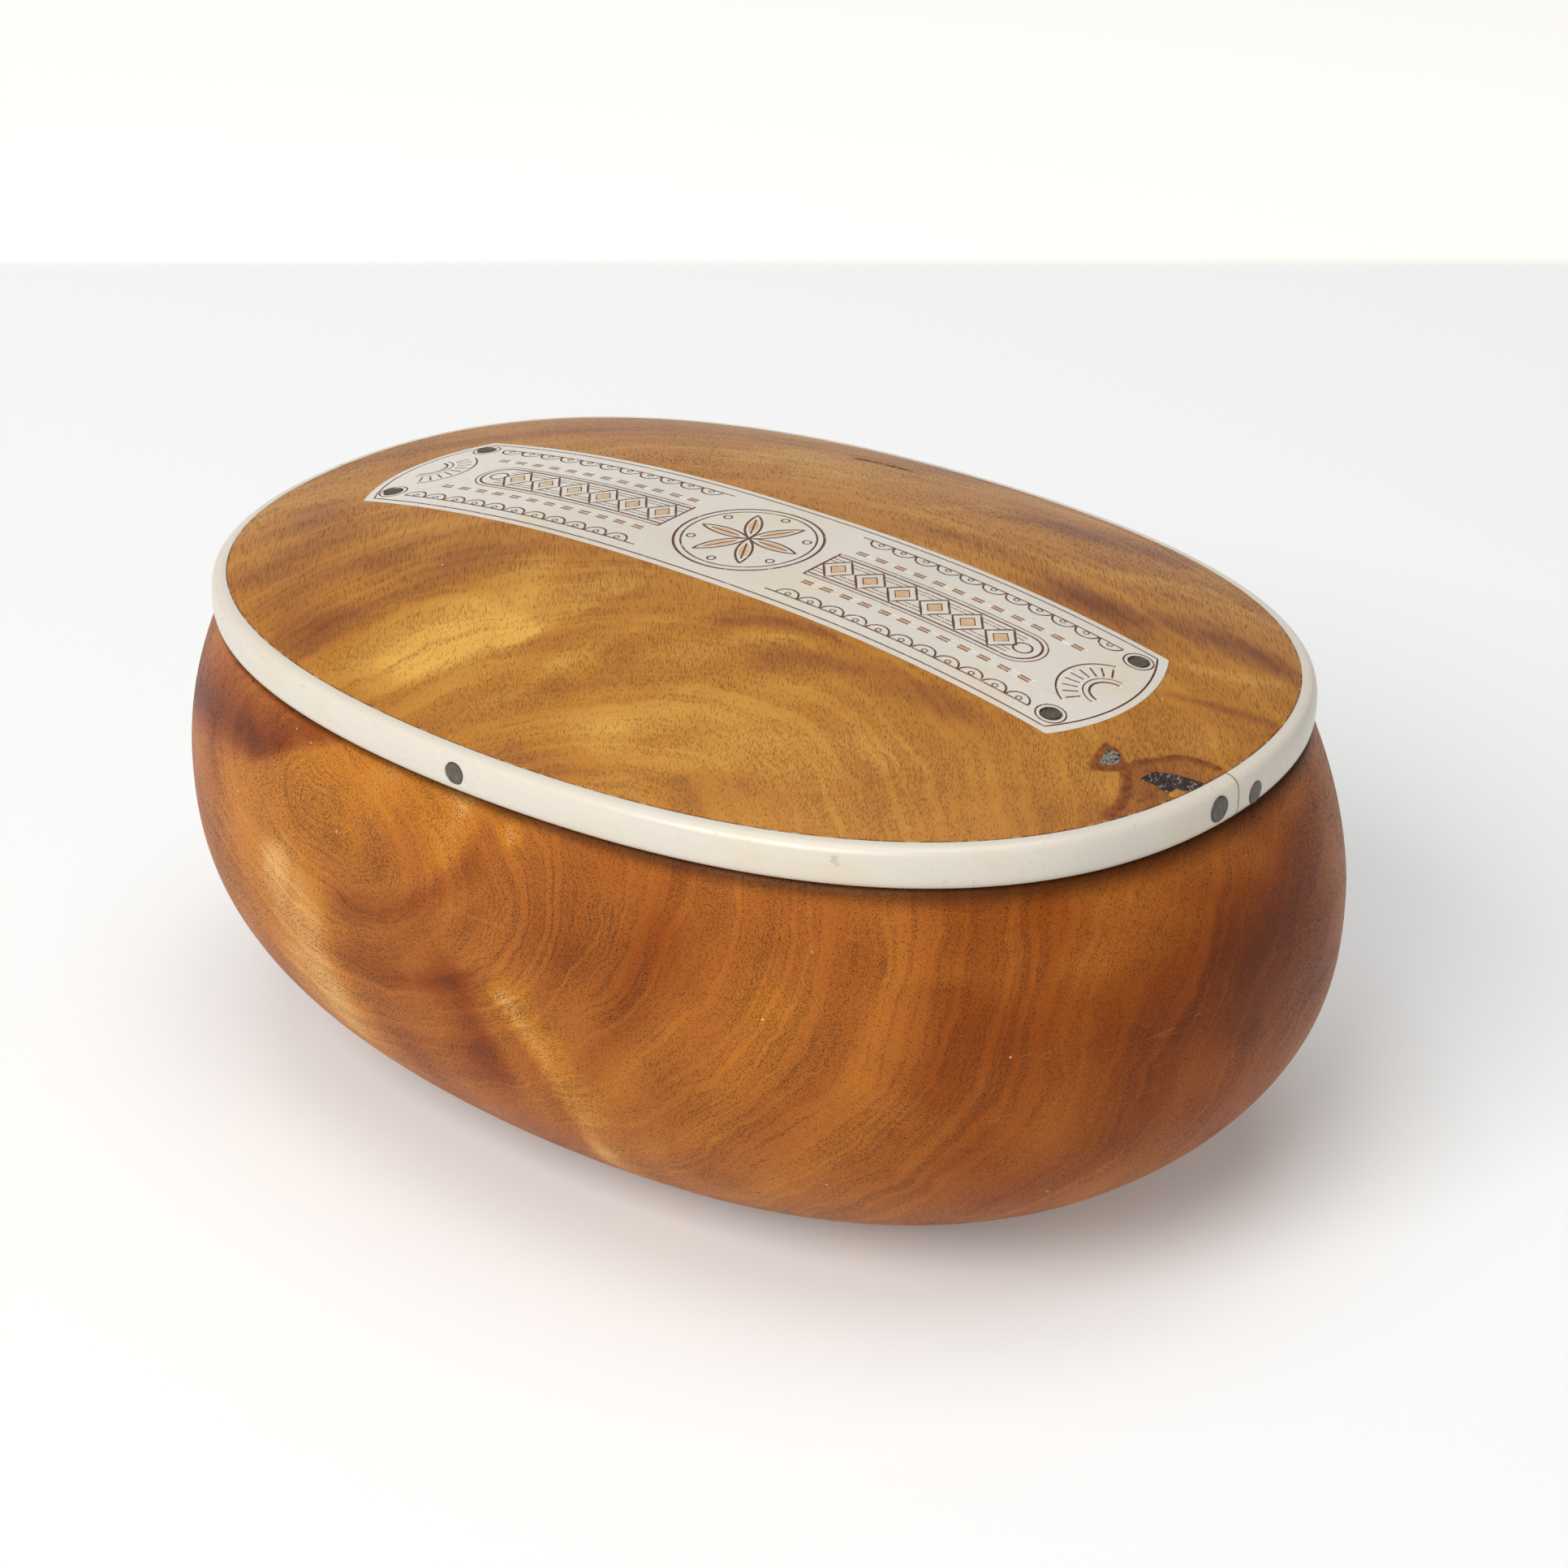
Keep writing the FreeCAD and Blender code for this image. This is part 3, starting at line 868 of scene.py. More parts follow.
def paint(mesh, strokes, place_point):
    """Adds up strokes at the mesh's points."""
    places = mesh_places(mesh)
    normals = read_vectors(mesh.vertices, "normal")
    total = np.zeros(len(places))
    for points, left, right, strength, *_ in strokes:
        path = np.array([place_point(point) for point in smooth_path(points)])
        total += strength * brush(places, normals, path, left * MM, right * MM)
    return total


def patch(lid, mesh, outline, fade):
    """1 inside an outline on the lid's upper side, falling to 0 at the fade's distance outside it."""
    places = mesh_places(mesh)
    outline = np.array(outline) * MM
    around = np.vstack([outline, outline[:1]])
    away = distance_to_path(places[:, :2], around)
    away[inside_polygon(places[:, :2], outline)] = 0
    upper = places[:, 2] > dome_height(lid, places[:, 0], places[:, 1]) - 2 * MM
    return np.clip(1 - away / (fade * MM), 0, 1) * upper


# A stroke is its points, its reach to the left and to the right of its direction in millimetres, and its
# strength: dark below 0. On the lid the points are plan millimetres.
LID_FIGURE = (
    (((-27.0, -72.0), (-18.6, -60.6), (-14.4, -55.0), (-10.9, -49.4), (-9.2, -43.2)), 14.0, 0.8, 0.34),
    (((-10.9, -49.4), (-9.2, -43.2), (-7.2, -37.4), (-5.3, -30.7), (-3.5, -21.9)), 9.0, 0.8, 0.2),
    (((-24.0, -66.0), (-24.5, -52.0), (-25.0, -38.0), (-26.9, -21.2)), 7.0, 6.0, 0.2),
    (((-9.5, -52.5), (-14.9, -43.3), (-20.7, -32.8), (-28.7, -21.4)), 2.5, 2.5, 0.16),
    (((-6.4, -69.3), (-0.9, -56.6), (1.5, -43.4), (5.4, -36.6), (10.8, -28.2), (15.3, -22.0)),
     2.6, 1.0, 0.16),
    (((1.9, -58.5), (2.4, -53.9), (4.0, -47.0), (8.6, -38.7)), 1.0, 5.0, -0.18),
    (((2.0, -53.0), (3.4, -50.0), (5.5, -45.5)), 3.0, 3.0, 0.3),
    (((15.0, -29.6), (18.3, -26.0), (21.6, -22.8), (27.0, -20.6), (36.3, -19.2)), 1.2, 2.6, -0.26),
    (((25.4, -34.4), (31.4, -30.3), (38.5, -26.7), (46.3, -23.9), (58.2, -23.0), (69.0, -24.9)),
     2.5, 4.0, -0.24),
    (((20.0, -29.5), (27.0, -26.0), (35.0, -23.0)), 1.5, 2.0, 0.12),
    (((-43.3, -36.1), (-38.5, -28.6), (-32.5, -24.6), (-27.1, -19.9)), 4.0, 5.0, -0.26),
    (((-38.0, -45.5), (-33.8, -38.7), (-29.1, -30.8)), 2.5, 2.5, -0.12),
    (((18.1, -56.9), (21.5, -65.2)), 4.0, 4.0, 0.2),
    (((3.7, -71.8), (15.5, -71.0), (25.2, -70.0)), 3.0, 4.0, -0.18),
    (((10.0, -62.0), (20.0, -58.0), (30.0, -55.0)), 5.0, 5.0, 0.1),
    (((35.2, -63.6), (43.5, -61.2), (49.2, -58.4)), 3.0, 4.0, -0.16),
    (((44.4, 21.6), (55.3, 22.9), (63.7, 25.6), (71.0, 29.9), (77.3, 33.2), (86.3, 34.9), (94.0, 33.0)),
     4.2, 3.8, -0.34),
    (((41.5, 30.0), (47.6, 35.1), (54.2, 39.5), (60.7, 45.4), (66.7, 49.4), (76.0, 49.5)),
     3.2, 3.2, 0.24),
    (((26.3, 50.8), (39.2, 53.4), (47.7, 58.4), (55.0, 61.0)), 4.0, 3.5, -0.26),
    (((50.7, 39.6), (56.8, 44.8), (61.7, 50.0), (68.3, 54.7)), 0.8, 2.4, 0.2),
    (((11.9, 31.7), (16.2, 42.3), (18.6, 56.8)), 1.4, 1.0, 0.16),
    (((77.4, 17.9), (85.5, 22.6), (94.0, 32.1)), 1.4, 1.2, 0.26),
    (((-30.0, 47.0), (-12.0, 44.0), (8.0, 45.0)), 6.0, 5.0, 0.2),
    (((14.0, 57.0), (28.0, 54.0), (42.0, 54.0)), 6.0, 6.0, -0.16),
    (((-28.0, 28.9), (-26.4, 41.3), (-3.4, 36.1)), 5.0, 6.0, 0.2),
    (((-86.6, -17.0), (-80.6, -27.0), (-62.1, -38.2), (-45.9, -33.8)), 8.0, 7.0, -0.26),
    (((-80.8, -43.5), (-60.0, -54.0), (-38.9, -66.8)), 7.0, 9.0, -0.26),
    (((-96.0, 4.0), (-82.0, 24.0), (-62.0, 40.0)), 8.0, 10.0, -0.16),
    (((81.2, 7.2), (88.3, 11.4), (96.1, 16.0), (101.0, 19.0)), 1.0, 3.6, -0.3),
    (((80.5, 4.4), (88.8, 9.4), (94.6, 12.6), (100.4, 15.9)), 1.2, 1.4, 0.22),
    (((24.0, -57.0), (44.0, -47.0), (66.0, -36.0)), 9.0, 8.0, 0.12),
)
# Here the points are degrees round the bowl and millimetres up it.
BOWL_FIGURE = (
    (((-150.0, 62.0), (-138.0, 67.5), (-128.0, 72.0), (-119.5, 74.5)), 7.0, 4.0, -0.44),
    (((-121.0, 69.5), (-117.1, 73.5), (-111.9, 79.4), (-107.0, 83.0)), 7.0, 1.0, -0.4),
    (((-113.3, 71.1), (-106.3, 78.8), (-95.4, 81.8), (-86.0, 80.0)), 9.0, 8.0, 0.26),
    (((-85.0, 81.0), (-84.2, 79.2), (-83.8, 77.4)), 1.8, 1.8, 0.38),
    (((-107.0, 54.1), (-100.7, 56.0), (-94.9, 61.3), (-89.7, 69.7), (-87.3, 77.4)), 1.8, 3.5, -0.24),
    (((-106.2, 46.2), (-98.8, 50.2), (-91.2, 58.7), (-86.1, 66.4)), 1.2, 2.6, -0.16),
    (((-107.0, 43.6), (-99.2, 44.4), (-91.4, 48.6), (-86.0, 54.7)), 1.2, 2.5, -0.2),
    (((-86.5, 51.0), (-84.6, 48.3), (-82.0, 43.0), (-79.8, 36.2), (-77.7, 26.2), (-77.4, 11.4)),
     5.0, 1.2, 0.4),
    (((-77.7, 22.0), (-74.0, 12.0), (-66.0, 7.0)), 4.0, 3.0, 0.2),
    (((-91.9, 54.0), (-88.2, 42.9), (-84.5, 26.1)), 2.5, 6.0, -0.24),
    # This light stroke low on the left end is partly figure and partly a painted reflection of the pale
    # floor.
    (((-115.0, 60.0), (-112.0, 50.0), (-110.5, 40.0), (-108.5, 29.0), (-105.0, 16.0)), 9.0, 11.0, 0.42),
    (((-84.0, 74.0), (-80.0, 66.0), (-79.0, 58.0)), 6.0, 7.0, -0.14),
    (((-67.1, 76.2), (-69.5, 63.3), (-74.5, 45.3), (-80.5, 28.0)), 3.0, 4.0, -0.16),
    (((-56.6, 73.5), (-60.0, 55.9), (-66.1, 36.7), (-76.5, 14.2)), 4.0, 4.0, 0.12),
    (((-49.8, 76.2), (-52.8, 58.2), (-58.6, 37.0), (-66.0, 18.0)), 4.0, 4.0, -0.14),
    (((-24.0, 82.4), (-24.5, 76.0), (-25.5, 68.0)), 7.0, 7.0, 0.06),
    (((-16.0, 80.0), (-16.5, 66.0), (-19.0, 52.0)), 9.0, 9.0, -0.08),
    (((-45.0, 81.0), (-36.0, 79.0), (-28.0, 74.0)), 6.0, 9.0, -0.12),
    (((-30.0, 70.0), (-28.0, 52.0), (-31.0, 34.0), (-38.0, 16.0)), 12.0, 12.0, -0.15),
    (((-12.0, 72.0), (-11.0, 56.0), (-14.0, 40.0), (-22.0, 22.0)), 12.0, 14.0, -0.13),
    (((0.0, 70.0), (2.0, 54.0), (0.0, 36.0), (-8.0, 20.0)), 12.0, 12.0, -0.17),
    # This dark stroke is painted shade: it darkens the bowl towards its edge near 10 degrees, where it
    # turns from the light.
    (((9.0, 78.0), (13.0, 62.0), (14.0, 44.0)), 12.0, 12.0, -0.26),
    (((-38.0, 68.0), (-39.0, 50.0), (-43.0, 30.0)), 8.0, 8.0, -0.14),
    (((-2.0, 76.0), (-5.0, 62.7), (-9.2, 45.4)), 9.0, 8.0, -0.16),
    (((-19.5, 76.0), (-22.0, 66.0), (-23.5, 52.0)), 10.0, 10.0, -0.07),
    (((-42.0, 70.0), (-43.0, 60.0), (-47.0, 46.0)), 8.0, 8.0, -0.16),
)
LID_KNOT = (
    (((91.5, -15.3), (91.5, -12.0), (93.2, -8.7), (94.8, -5.4), (97.3, -3.2), (100.2, -1.8), (102.6, -1.7)),
     0.5, 1.3, 0.85),
    (((90.6, -16.4), (91.6, -16.0), (93.3, -17.3), (94.9, -19.9), (96.0, -22.9), (96.3, -26.1),
      (96.3, -28.2)),
     1.1, 1.3, 0.85),
    (((97.5, -20.8), (97.7, -18.6), (98.2, -15.9)), 0.35, 0.35, 0.9),
)
# A fifth value is the depth of a pit in millimetres.
LID_BARK = (
    (((88.0, -16.6), (88.1, -15.2), (88.4, -14.0)), 0.5, 0.5, 0.1, 0.8),
    (((94.7, -14.9), (96.4, -12.6), (98.6, -11.0), (101.6, -8.6)), 0.7, 0.7, 0.7, 1.3),
    (((-19.1, 54.0), (-15.0, 55.6), (-6.3, 57.2)), 0.7, 0.7, 0.9, 0.7),
    (((97.4, -20.4), (97.7, -18.6), (98.0, -16.2)), 0.25, 0.25, 0.5, 0.4),
)
# Filled patches on the lid: attribute, outline, fade outside it in millimetres and strength.
LID_PATCHES = (
    ("knot", ((87.9, -19.4), (86.5, -15.8), (85.8, -12.7), (87.8, -12.6), (90.8, -14.7), (89.8, -17.2)),
     1.3, 1.1),
    ("bark", ((88.0, -17.6), (86.9, -13.4), (88.6, -12.9), (89.8, -15.1)), 0.5, 0.75),
    ("bark", ((94.5, -15.0), (95.2, -11.9), (97.1, -10.1), (99.3, -8.8), (102.0, -7.4), (102.2, -9.4),
              (100.9, -11.4), (99.5, -12.2), (99.2, -14.6), (98.0, -14.5), (96.7, -14.4)),
     0.4, 1.0),
    ("figure", ((92.0, -15.6), (92.0, -12.0), (93.6, -8.4), (95.2, -5.2), (97.6, -3.0), (101.5, -1.9),
                (104.0, -6.0), (102.5, -16.0), (99.0, -24.0), (96.6, -28.0), (96.3, -22.9), (95.2, -19.7)),
     1.2, -0.22),
    ("figure", ((99.9, -14.4), (100.0, -12.9), (101.4, -12.4), (101.2, -14.2)), 0.7, 0.6),
)


# ---- Geometry nodes: belts of faces round an oval ----

def new_geometry_tree(name, inputs):
    """Geometry tree with named size inputs: its maker and its inputs by name."""
    tree = bpy.data.node_groups.new(name, "GeometryNodeTree")
    tree.interface.new_socket("Geometry", in_out="INPUT", socket_type="NodeSocketGeometry")
    for input_name in inputs:
        tree.interface.new_socket(input_name, in_out="INPUT", socket_type=FLOAT)
    tree.interface.new_socket("Material", in_out="INPUT", socket_type="NodeSocketMaterial")
    tree.interface.new_socket("Geometry", in_out="OUTPUT", socket_type="NodeSocketGeometry")
    maker = Maker(tree)
    return maker, maker.wires(maker.node("NodeGroupInput"))


def end_geometry_tree(maker, geometry, material):
    """Realizes instances, sets the material and closes the tree."""
    real = maker.out("GeometryNodeRealizeInstances", {"Geometry": geometry})
    done = maker.out("GeometryNodeSetMaterial", {"Geometry": real, "Material": material})
    maker.results({"Geometry": done})


def run_tree(piece, maker, values, material):
    """Runs a geometry tree on a piece with its inputs set by identifier, and keeps the plain mesh."""
    modifier = piece.modifiers.new("shape", "NODES")
    modifier.node_group = maker.tree
    values = {**values, "Material": material}
    for item in maker.tree.interface.items_tree:
        if item.in_out == "INPUT" and item.name in values:
            modifier[item.identifier] = values[item.name]
    apply_modifiers(piece)


def belt(maker, columns, rows, start, sweep, shape):
    """Belt of faces round an oval. shape(step), with step from 0 to 1 across the belt, gives the half
    length, half width, squareness and height there."""
    inputs = {"Size X": 1.0, "Size Y": 1.0, "Vertices X": columns + 1, "Vertices Y": rows + 1}
    grid = maker.out("GeometryNodeMeshGrid", inputs)
    x, y, _ = maker.split(maker.out("GeometryNodeInputPosition"))
    angle = (x + 0.5) * sweep + start
    half_length, half_width, squareness, height = shape(y + 0.5)
    swing = maker.math("SINE", angle * 2.0)
    bulge = swing * swing * squareness + 1.0
    east = maker.math("COSINE", angle) * bulge * half_length
    north = maker.math("SINE", angle) * bulge * half_width
    moved = maker.vector(east, north, height)
    return maker.out("GeometryNodeSetPosition", {"Geometry": grid, "Position": moved})


def join_belts(maker, belts):
    joined = maker.node("GeometryNodeJoinGeometry")
    for one in belts:
        maker.tree.links.new(one.socket, joined.inputs["Geometry"])
    inputs = {"Geometry": Wire(maker, joined.outputs[0]), "Distance": 10 * SAME_PLACE}
    return maker.out("GeometryNodeMergeByDistance", inputs)


BOWL_COLUMNS = 384
STRIP_COLUMNS = 260
BOWL_INPUTS = (
    "Belly Length", "Belly Width", "Belly Squareness", "Rim Length", "Rim Width", "Rim Squareness",
    "Height", "Belly Drop", "Flat Rim", "Rim Round", "Shoulder", "Flank", "Foot",
    "Base Length", "Base Width", "Wall", "Floor", "Floor Inset", "Tool Marks",
)


def make_bowl_tree():
    """Closed bowl: base, flank, shoulder, rounded rim, and the same again inside."""
    maker, size = new_geometry_tree("oval_bowl", BOWL_INPUTS)
    height, drop, rim_round = size["Height"], size["Belly Drop"], size["Rim Round"]
    belly_height = height - drop
    belly_squareness, rim_squareness = size["Belly Squareness"], size["Rim Squareness"]

    def inward(name, inset):
        """Half length and half width of a named outline, moved in."""
        return size[name + " Length"] - inset, size[name + " Width"] - inset

    def skin(rim_inset, belly_inset, base_inset, base_height):
        """Shapes of one skin's shoulder and flank, moved in by the wall for the inner one."""
        rim = inward("Rim", rim_inset)
        belly = inward("Belly", belly_inset)
        base = inward("Base", base_inset)

        def shoulder(level):
            turn = level ** size["Shoulder"]
            return (
                blend(belly[0], rim[0], turn),
                blend(belly[1], rim[1], turn),
                blend(belly_squareness, rim_squareness, turn),
                belly_height + drop * level,
            )

        def flank(below):
            turn = (1.0 - below ** size["Flank"]) ** (1.0 / size["Foot"])
            return (
                blend(base[0], belly[0], turn),
                blend(base[1], belly[1], turn),
                belly_squareness,
                blend(belly_height, base_height, below),
            )
        return shoulder, flank, base

    outer_shoulder, outer_flank, base = skin(0.0, 0.0, 0.0, 0.0)
    inner_shoulder, inner_flank, inner_base = skin(
        size["Flat Rim"], size["Wall"], size["Floor Inset"], size["Floor"])
    round_level = 1.0 - rim_round / drop

    def disc(foot, level, outwards):
        def shape(step):
            grow = step if outwards else 1.0 - step
            return foot[0] * grow, foot[1] * grow, belly_squareness, level
        return shape

    def rounding(shoulder, inset, inwards):
        """Curve from the shoulder over the rim's edge, or the other way round."""
        side = shoulder(round_level)
        corner = inward("Rim", inset)
        across = rim_round if inwards else 0.0 - rim_round

        def shape(step):
            go = step if inwards else 1.0 - step
            stay = 1.0 - go
            sides = []
            for axis in (0, 1):
                flat = corner[axis] - across
                sides.append(side[axis] * stay * stay + corner[axis] * stay * go * 2.0 + flat * go * go)
            return *sides, rim_squareness, height - rim_round * stay * stay
        return shape

    def flat_rim(step):
        inset = rim_round + (size["Flat Rim"] - rim_round * 2.0) * step
        return *inward("Rim", inset), rim_squareness, height

    # Rows and shape of each belt, from the middle of the base up, over the rim and down to the floor.
    belts = [
        (8, disc(base, 0.0, True)),
        (56, lambda step: outer_flank(1.0 - step * step)),
        (28, lambda step: outer_shoulder(step * round_level)),
        (5, rounding(outer_shoulder, 0.0, True)),
        (2, flat_rim),
        (5, rounding(inner_shoulder, size["Flat Rim"], False)),
        (16, lambda step: inner_shoulder((1.0 - step) * round_level)),
        (36, lambda step: inner_flank(1.0 - (1.0 - step) * (1.0 - step))),
        (8, disc(inner_base, size["Floor"], False)),
    ]
    made = [belt(maker, BOWL_COLUMNS, rows, 0.0, math.tau, shape) for rows, shape in belts]
    body = join_belts(maker, made)

    # The carver's undulation fades out where the bowl stands on its base.
    place = maker.out("GeometryNodeInputPosition")
    normal = maker.out("GeometryNodeInputNormal")
    ripple = maker.noise(place, 70.0, 1.0)
    standing = maker.smooth(maker.split(place)[2], 0.0, 3.0 * MM)
    depth = 0.0 - ripple * size["Tool Marks"] * standing
    body = maker.out("GeometryNodeSetPosition", {"Geometry": body, "Offset": maker.scaled(normal, depth)})
    end_geometry_tree(maker, body, size["Material"])
    return maker


def make_strip_tree():
    """One antler strip: a rounded face, a flat back against the board, and open ends."""
    maker, size = new_geometry_tree("edge_strip", (
        "Half Length", "Half Width", "Squareness", "Seat", "Height", "Thickness", "Roundness", "Tilt",
        "Start", "Sweep"))
    mid = size["Height"] * 0.5

    def face(step):
        turn = (step - 0.5) * math.pi
        exponent = 2.0 / size["Roundness"]
        out = maker.math("MAXIMUM", maker.math("COSINE", turn), 0.0) ** exponent
        rise = maker.math("SINE", turn)
        up = maker.math("ABSOLUTE", rise) ** exponent * maker.math("SIGN", rise)
        inset = size["Thickness"] * (1.0 - out)
        upper = maker.math("MAXIMUM", up, 0.0)
        height = size["Seat"] + mid + mid * up - upper * size["Tilt"] * size["Thickness"] * out
        return size["Half Length"] - inset, size["Half Width"] - inset, size["Squareness"], height

    def back(step):
        return (
            size["Half Length"] - size["Thickness"],
            size["Half Width"] - size["Thickness"],
            size["Squareness"],
            size["Seat"] + size["Height"] * (1.0 - step),
        )

    belts = [
        belt(maker, STRIP_COLUMNS, 30, size["Start"], size["Sweep"], face),
        belt(maker, STRIP_COLUMNS, 3, size["Start"], size["Sweep"], back),
    ]
    end_geometry_tree(maker, join_belts(maker, belts), size["Material"])
    return maker


def make_pin_tree():
    """Pins set at the base mesh's points: a swollen end, a rounded edge and a shank along pin_axis."""
    maker, size = new_geometry_tree("horn_pins", ("Length", "Crown", "Edge"))

    def lathe(step_shape, rows):
        def shape(step):
            radius, height = step_shape(step)
            return radius, radius, 0.0, height
        return belt(maker, 32, rows, 0.0, math.tau, shape)

    rim = 1.0 - size["Edge"]
    belts = [
        lathe(lambda step: (step, 0.0 - size["Length"]), 2),
        lathe(lambda step: (1.0, (step - 1.0) * size["Length"] - size["Crown"] * step), 3),
        lathe(lambda step: (
            1.0 - size["Edge"] * step * step,
            0.0 - size["Crown"] * (1.0 - step) * (1.0 - step)), 3),
        lathe(lambda step: (rim * (1.0 - step), step * (2.0 - step) * size["Crown"]), 5),
    ]
    pin = join_belts(maker, belts)

    def store(geometry, name, value, kind, domain):
        inputs = {"Geometry": geometry, "Name": name, "Value": value}
        return maker.out("GeometryNodeStoreNamedAttribute", inputs, data_type=kind, domain=domain)

    def chance(high, seed):
        """A number from 0 to high, another one for each pin."""
        inputs = {"Min": 0.0, "Max": high, "Seed": seed}
        return maker.out("FunctionNodeRandomValue", inputs, 1, data_type="FLOAT")

    pin = store(pin, "pin_local", maker.out("GeometryNodeInputPosition"), "FLOAT_VECTOR", "POINT")
    axis = maker.out("GeometryNodeInputNamedAttribute", {"Name": "pin_axis"}, data_type="FLOAT_VECTOR")
    radius = maker.out("GeometryNodeInputNamedAttribute", {"Name": "pin_radius"}, data_type="FLOAT")
    turn = maker.out("FunctionNodeAlignRotationToVector", {"Vector": axis}, axis="Z")
    spin = {"Axis": (0.0, 0.0, 1.0), "Angle": chance(6.28, 4)}
    spins = {"Rotation": turn, "Rotate By": maker.out("FunctionNodeAxisAngleToRotation", spin)}
    turn = maker.out("FunctionNodeRotateRotation", spins, rotation_space="LOCAL")
    set_out = maker.out("GeometryNodeInstanceOnPoints", {
        "Points": size["Geometry"], "Instance": pin, "Rotation": turn,
        "Scale": maker.vector(radius, radius, 1.0),
    })
    set_out = store(set_out, "pin_shade", chance(1.0, 9), "FLOAT", "INSTANCE")
    set_out = store(set_out, "pin_size", radius, "FLOAT", "INSTANCE")
    end_geometry_tree(maker, set_out, size["Material"])
    return maker


# ---- Pieces ----

def make_bowl(bowl, lid, material):
    """Carved bowl, with its painted figure and painted shade on the outside just under the lid's band."""
    piece = new_piece("bowl_body", bpy.data.meshes.new("bowl_body"), material)
    rim_length = lid.half_length - bowl.rim_setback
    rim_width = lid.half_width - bowl.rim_setback
    values = (
        bowl.belly_half_length, bowl.belly_half_width, bowl.belly_squareness, rim_length, rim_width,
        lid.squareness, bowl.height, bowl.belly_drop, bowl.rim_width, bowl.rim_round, bowl.shoulder,
        bowl.flank, bowl.foot, bowl.base_half_length, bowl.base_half_width, bowl.wall, bowl.floor,
        bowl.floor_inset, bowl.tool_marks,
    )
    run_tree(piece, make_bowl_tree(), dict(zip(BOWL_INPUTS, values)), material)
    soften(piece.data, 40)

    def on_bowl(point):
        return bowl_point(bowl, lid, point[0], point[1] * MM)
    write_numbers(piece.data, "figure", paint(piece.data, BOWL_FIGURE, on_bowl))
    places = mesh_places(piece.data)
    angles = np.arctan2(places[:, 1] / bowl.belly_half_width, places[:, 0] / bowl.belly_half_length)
    # Painted shade under the lid's band: it reaches furthest down the outer skin near the right end.
    least, more, turn = 1.3, 3.4, 0.35
    reach = (least + more * np.clip(np.cos(angles + turn), 0, 1) ** 1.5) * MM
    outer = np.hypot(places[:, 0] / rim_length, places[:, 1] / rim_width) > 0.99
    write_numbers(piece.data, "rim", np.clip(1 - (bowl.height - places[:, 2]) / reach, 0, 1) * outer)
    return piece


def spread(low, high, step):
    """Even values from low to high, about a step apart."""
    return np.linspace(low, high, max(2, round((high - low) / step) + 1))


def board_angles():
    """Columns of the lid board in degrees, close together where the knot and the crack lie."""
    parts = (
        spread(-25.0, -1.0, 0.22), spread(-1.0, 92.0, 1.0),
        spread(92.0, 106.0, 0.35), spread(106.0, 335.0, 1.0),
    )
    return np.radians(np.unique(np.concatenate(parts))[:-1])


def board_shares():
    """Rows of the lid board as shares of its oval, close together towards the edge."""
    parts = (spread(0.0, 0.72, 0.014), spread(0.72, 0.99, 0.0055), (0.9915, 0.9955, 1.0))
    return np.unique(np.concatenate(parts))


def lid_dip(lid, x, y):
    """How deep the lid's surface lies below the dome at the knot, the bark pocket and the crack."""
    places = np.stack([x, y, dome_height(lid, x, y)], axis=1)
    up = np.tile((0.0, 0.0, 1.0), (len(x), 1))
    # Two crossed sets of wavy ridges make the pits' bottoms rough.
    first = x * 5200 + 3 * np.sin(y * 3900)
    second = y * 6100 + 2 * np.sin(x * 4300)
    rough = 0.6 + 0.4 * np.sin(first) * np.sin(second)
    depth = np.zeros(len(x))
    for points, left, right, _, deep in LID_BARK:
        path = smooth_path(points) * MM
        path = np.column_stack([path, dome_height(lid, path[:, 0], path[:, 1])])
        depth += deep * MM * brush(places, up, path, left * MM, right * MM) ** 1.5 * rough
    return depth


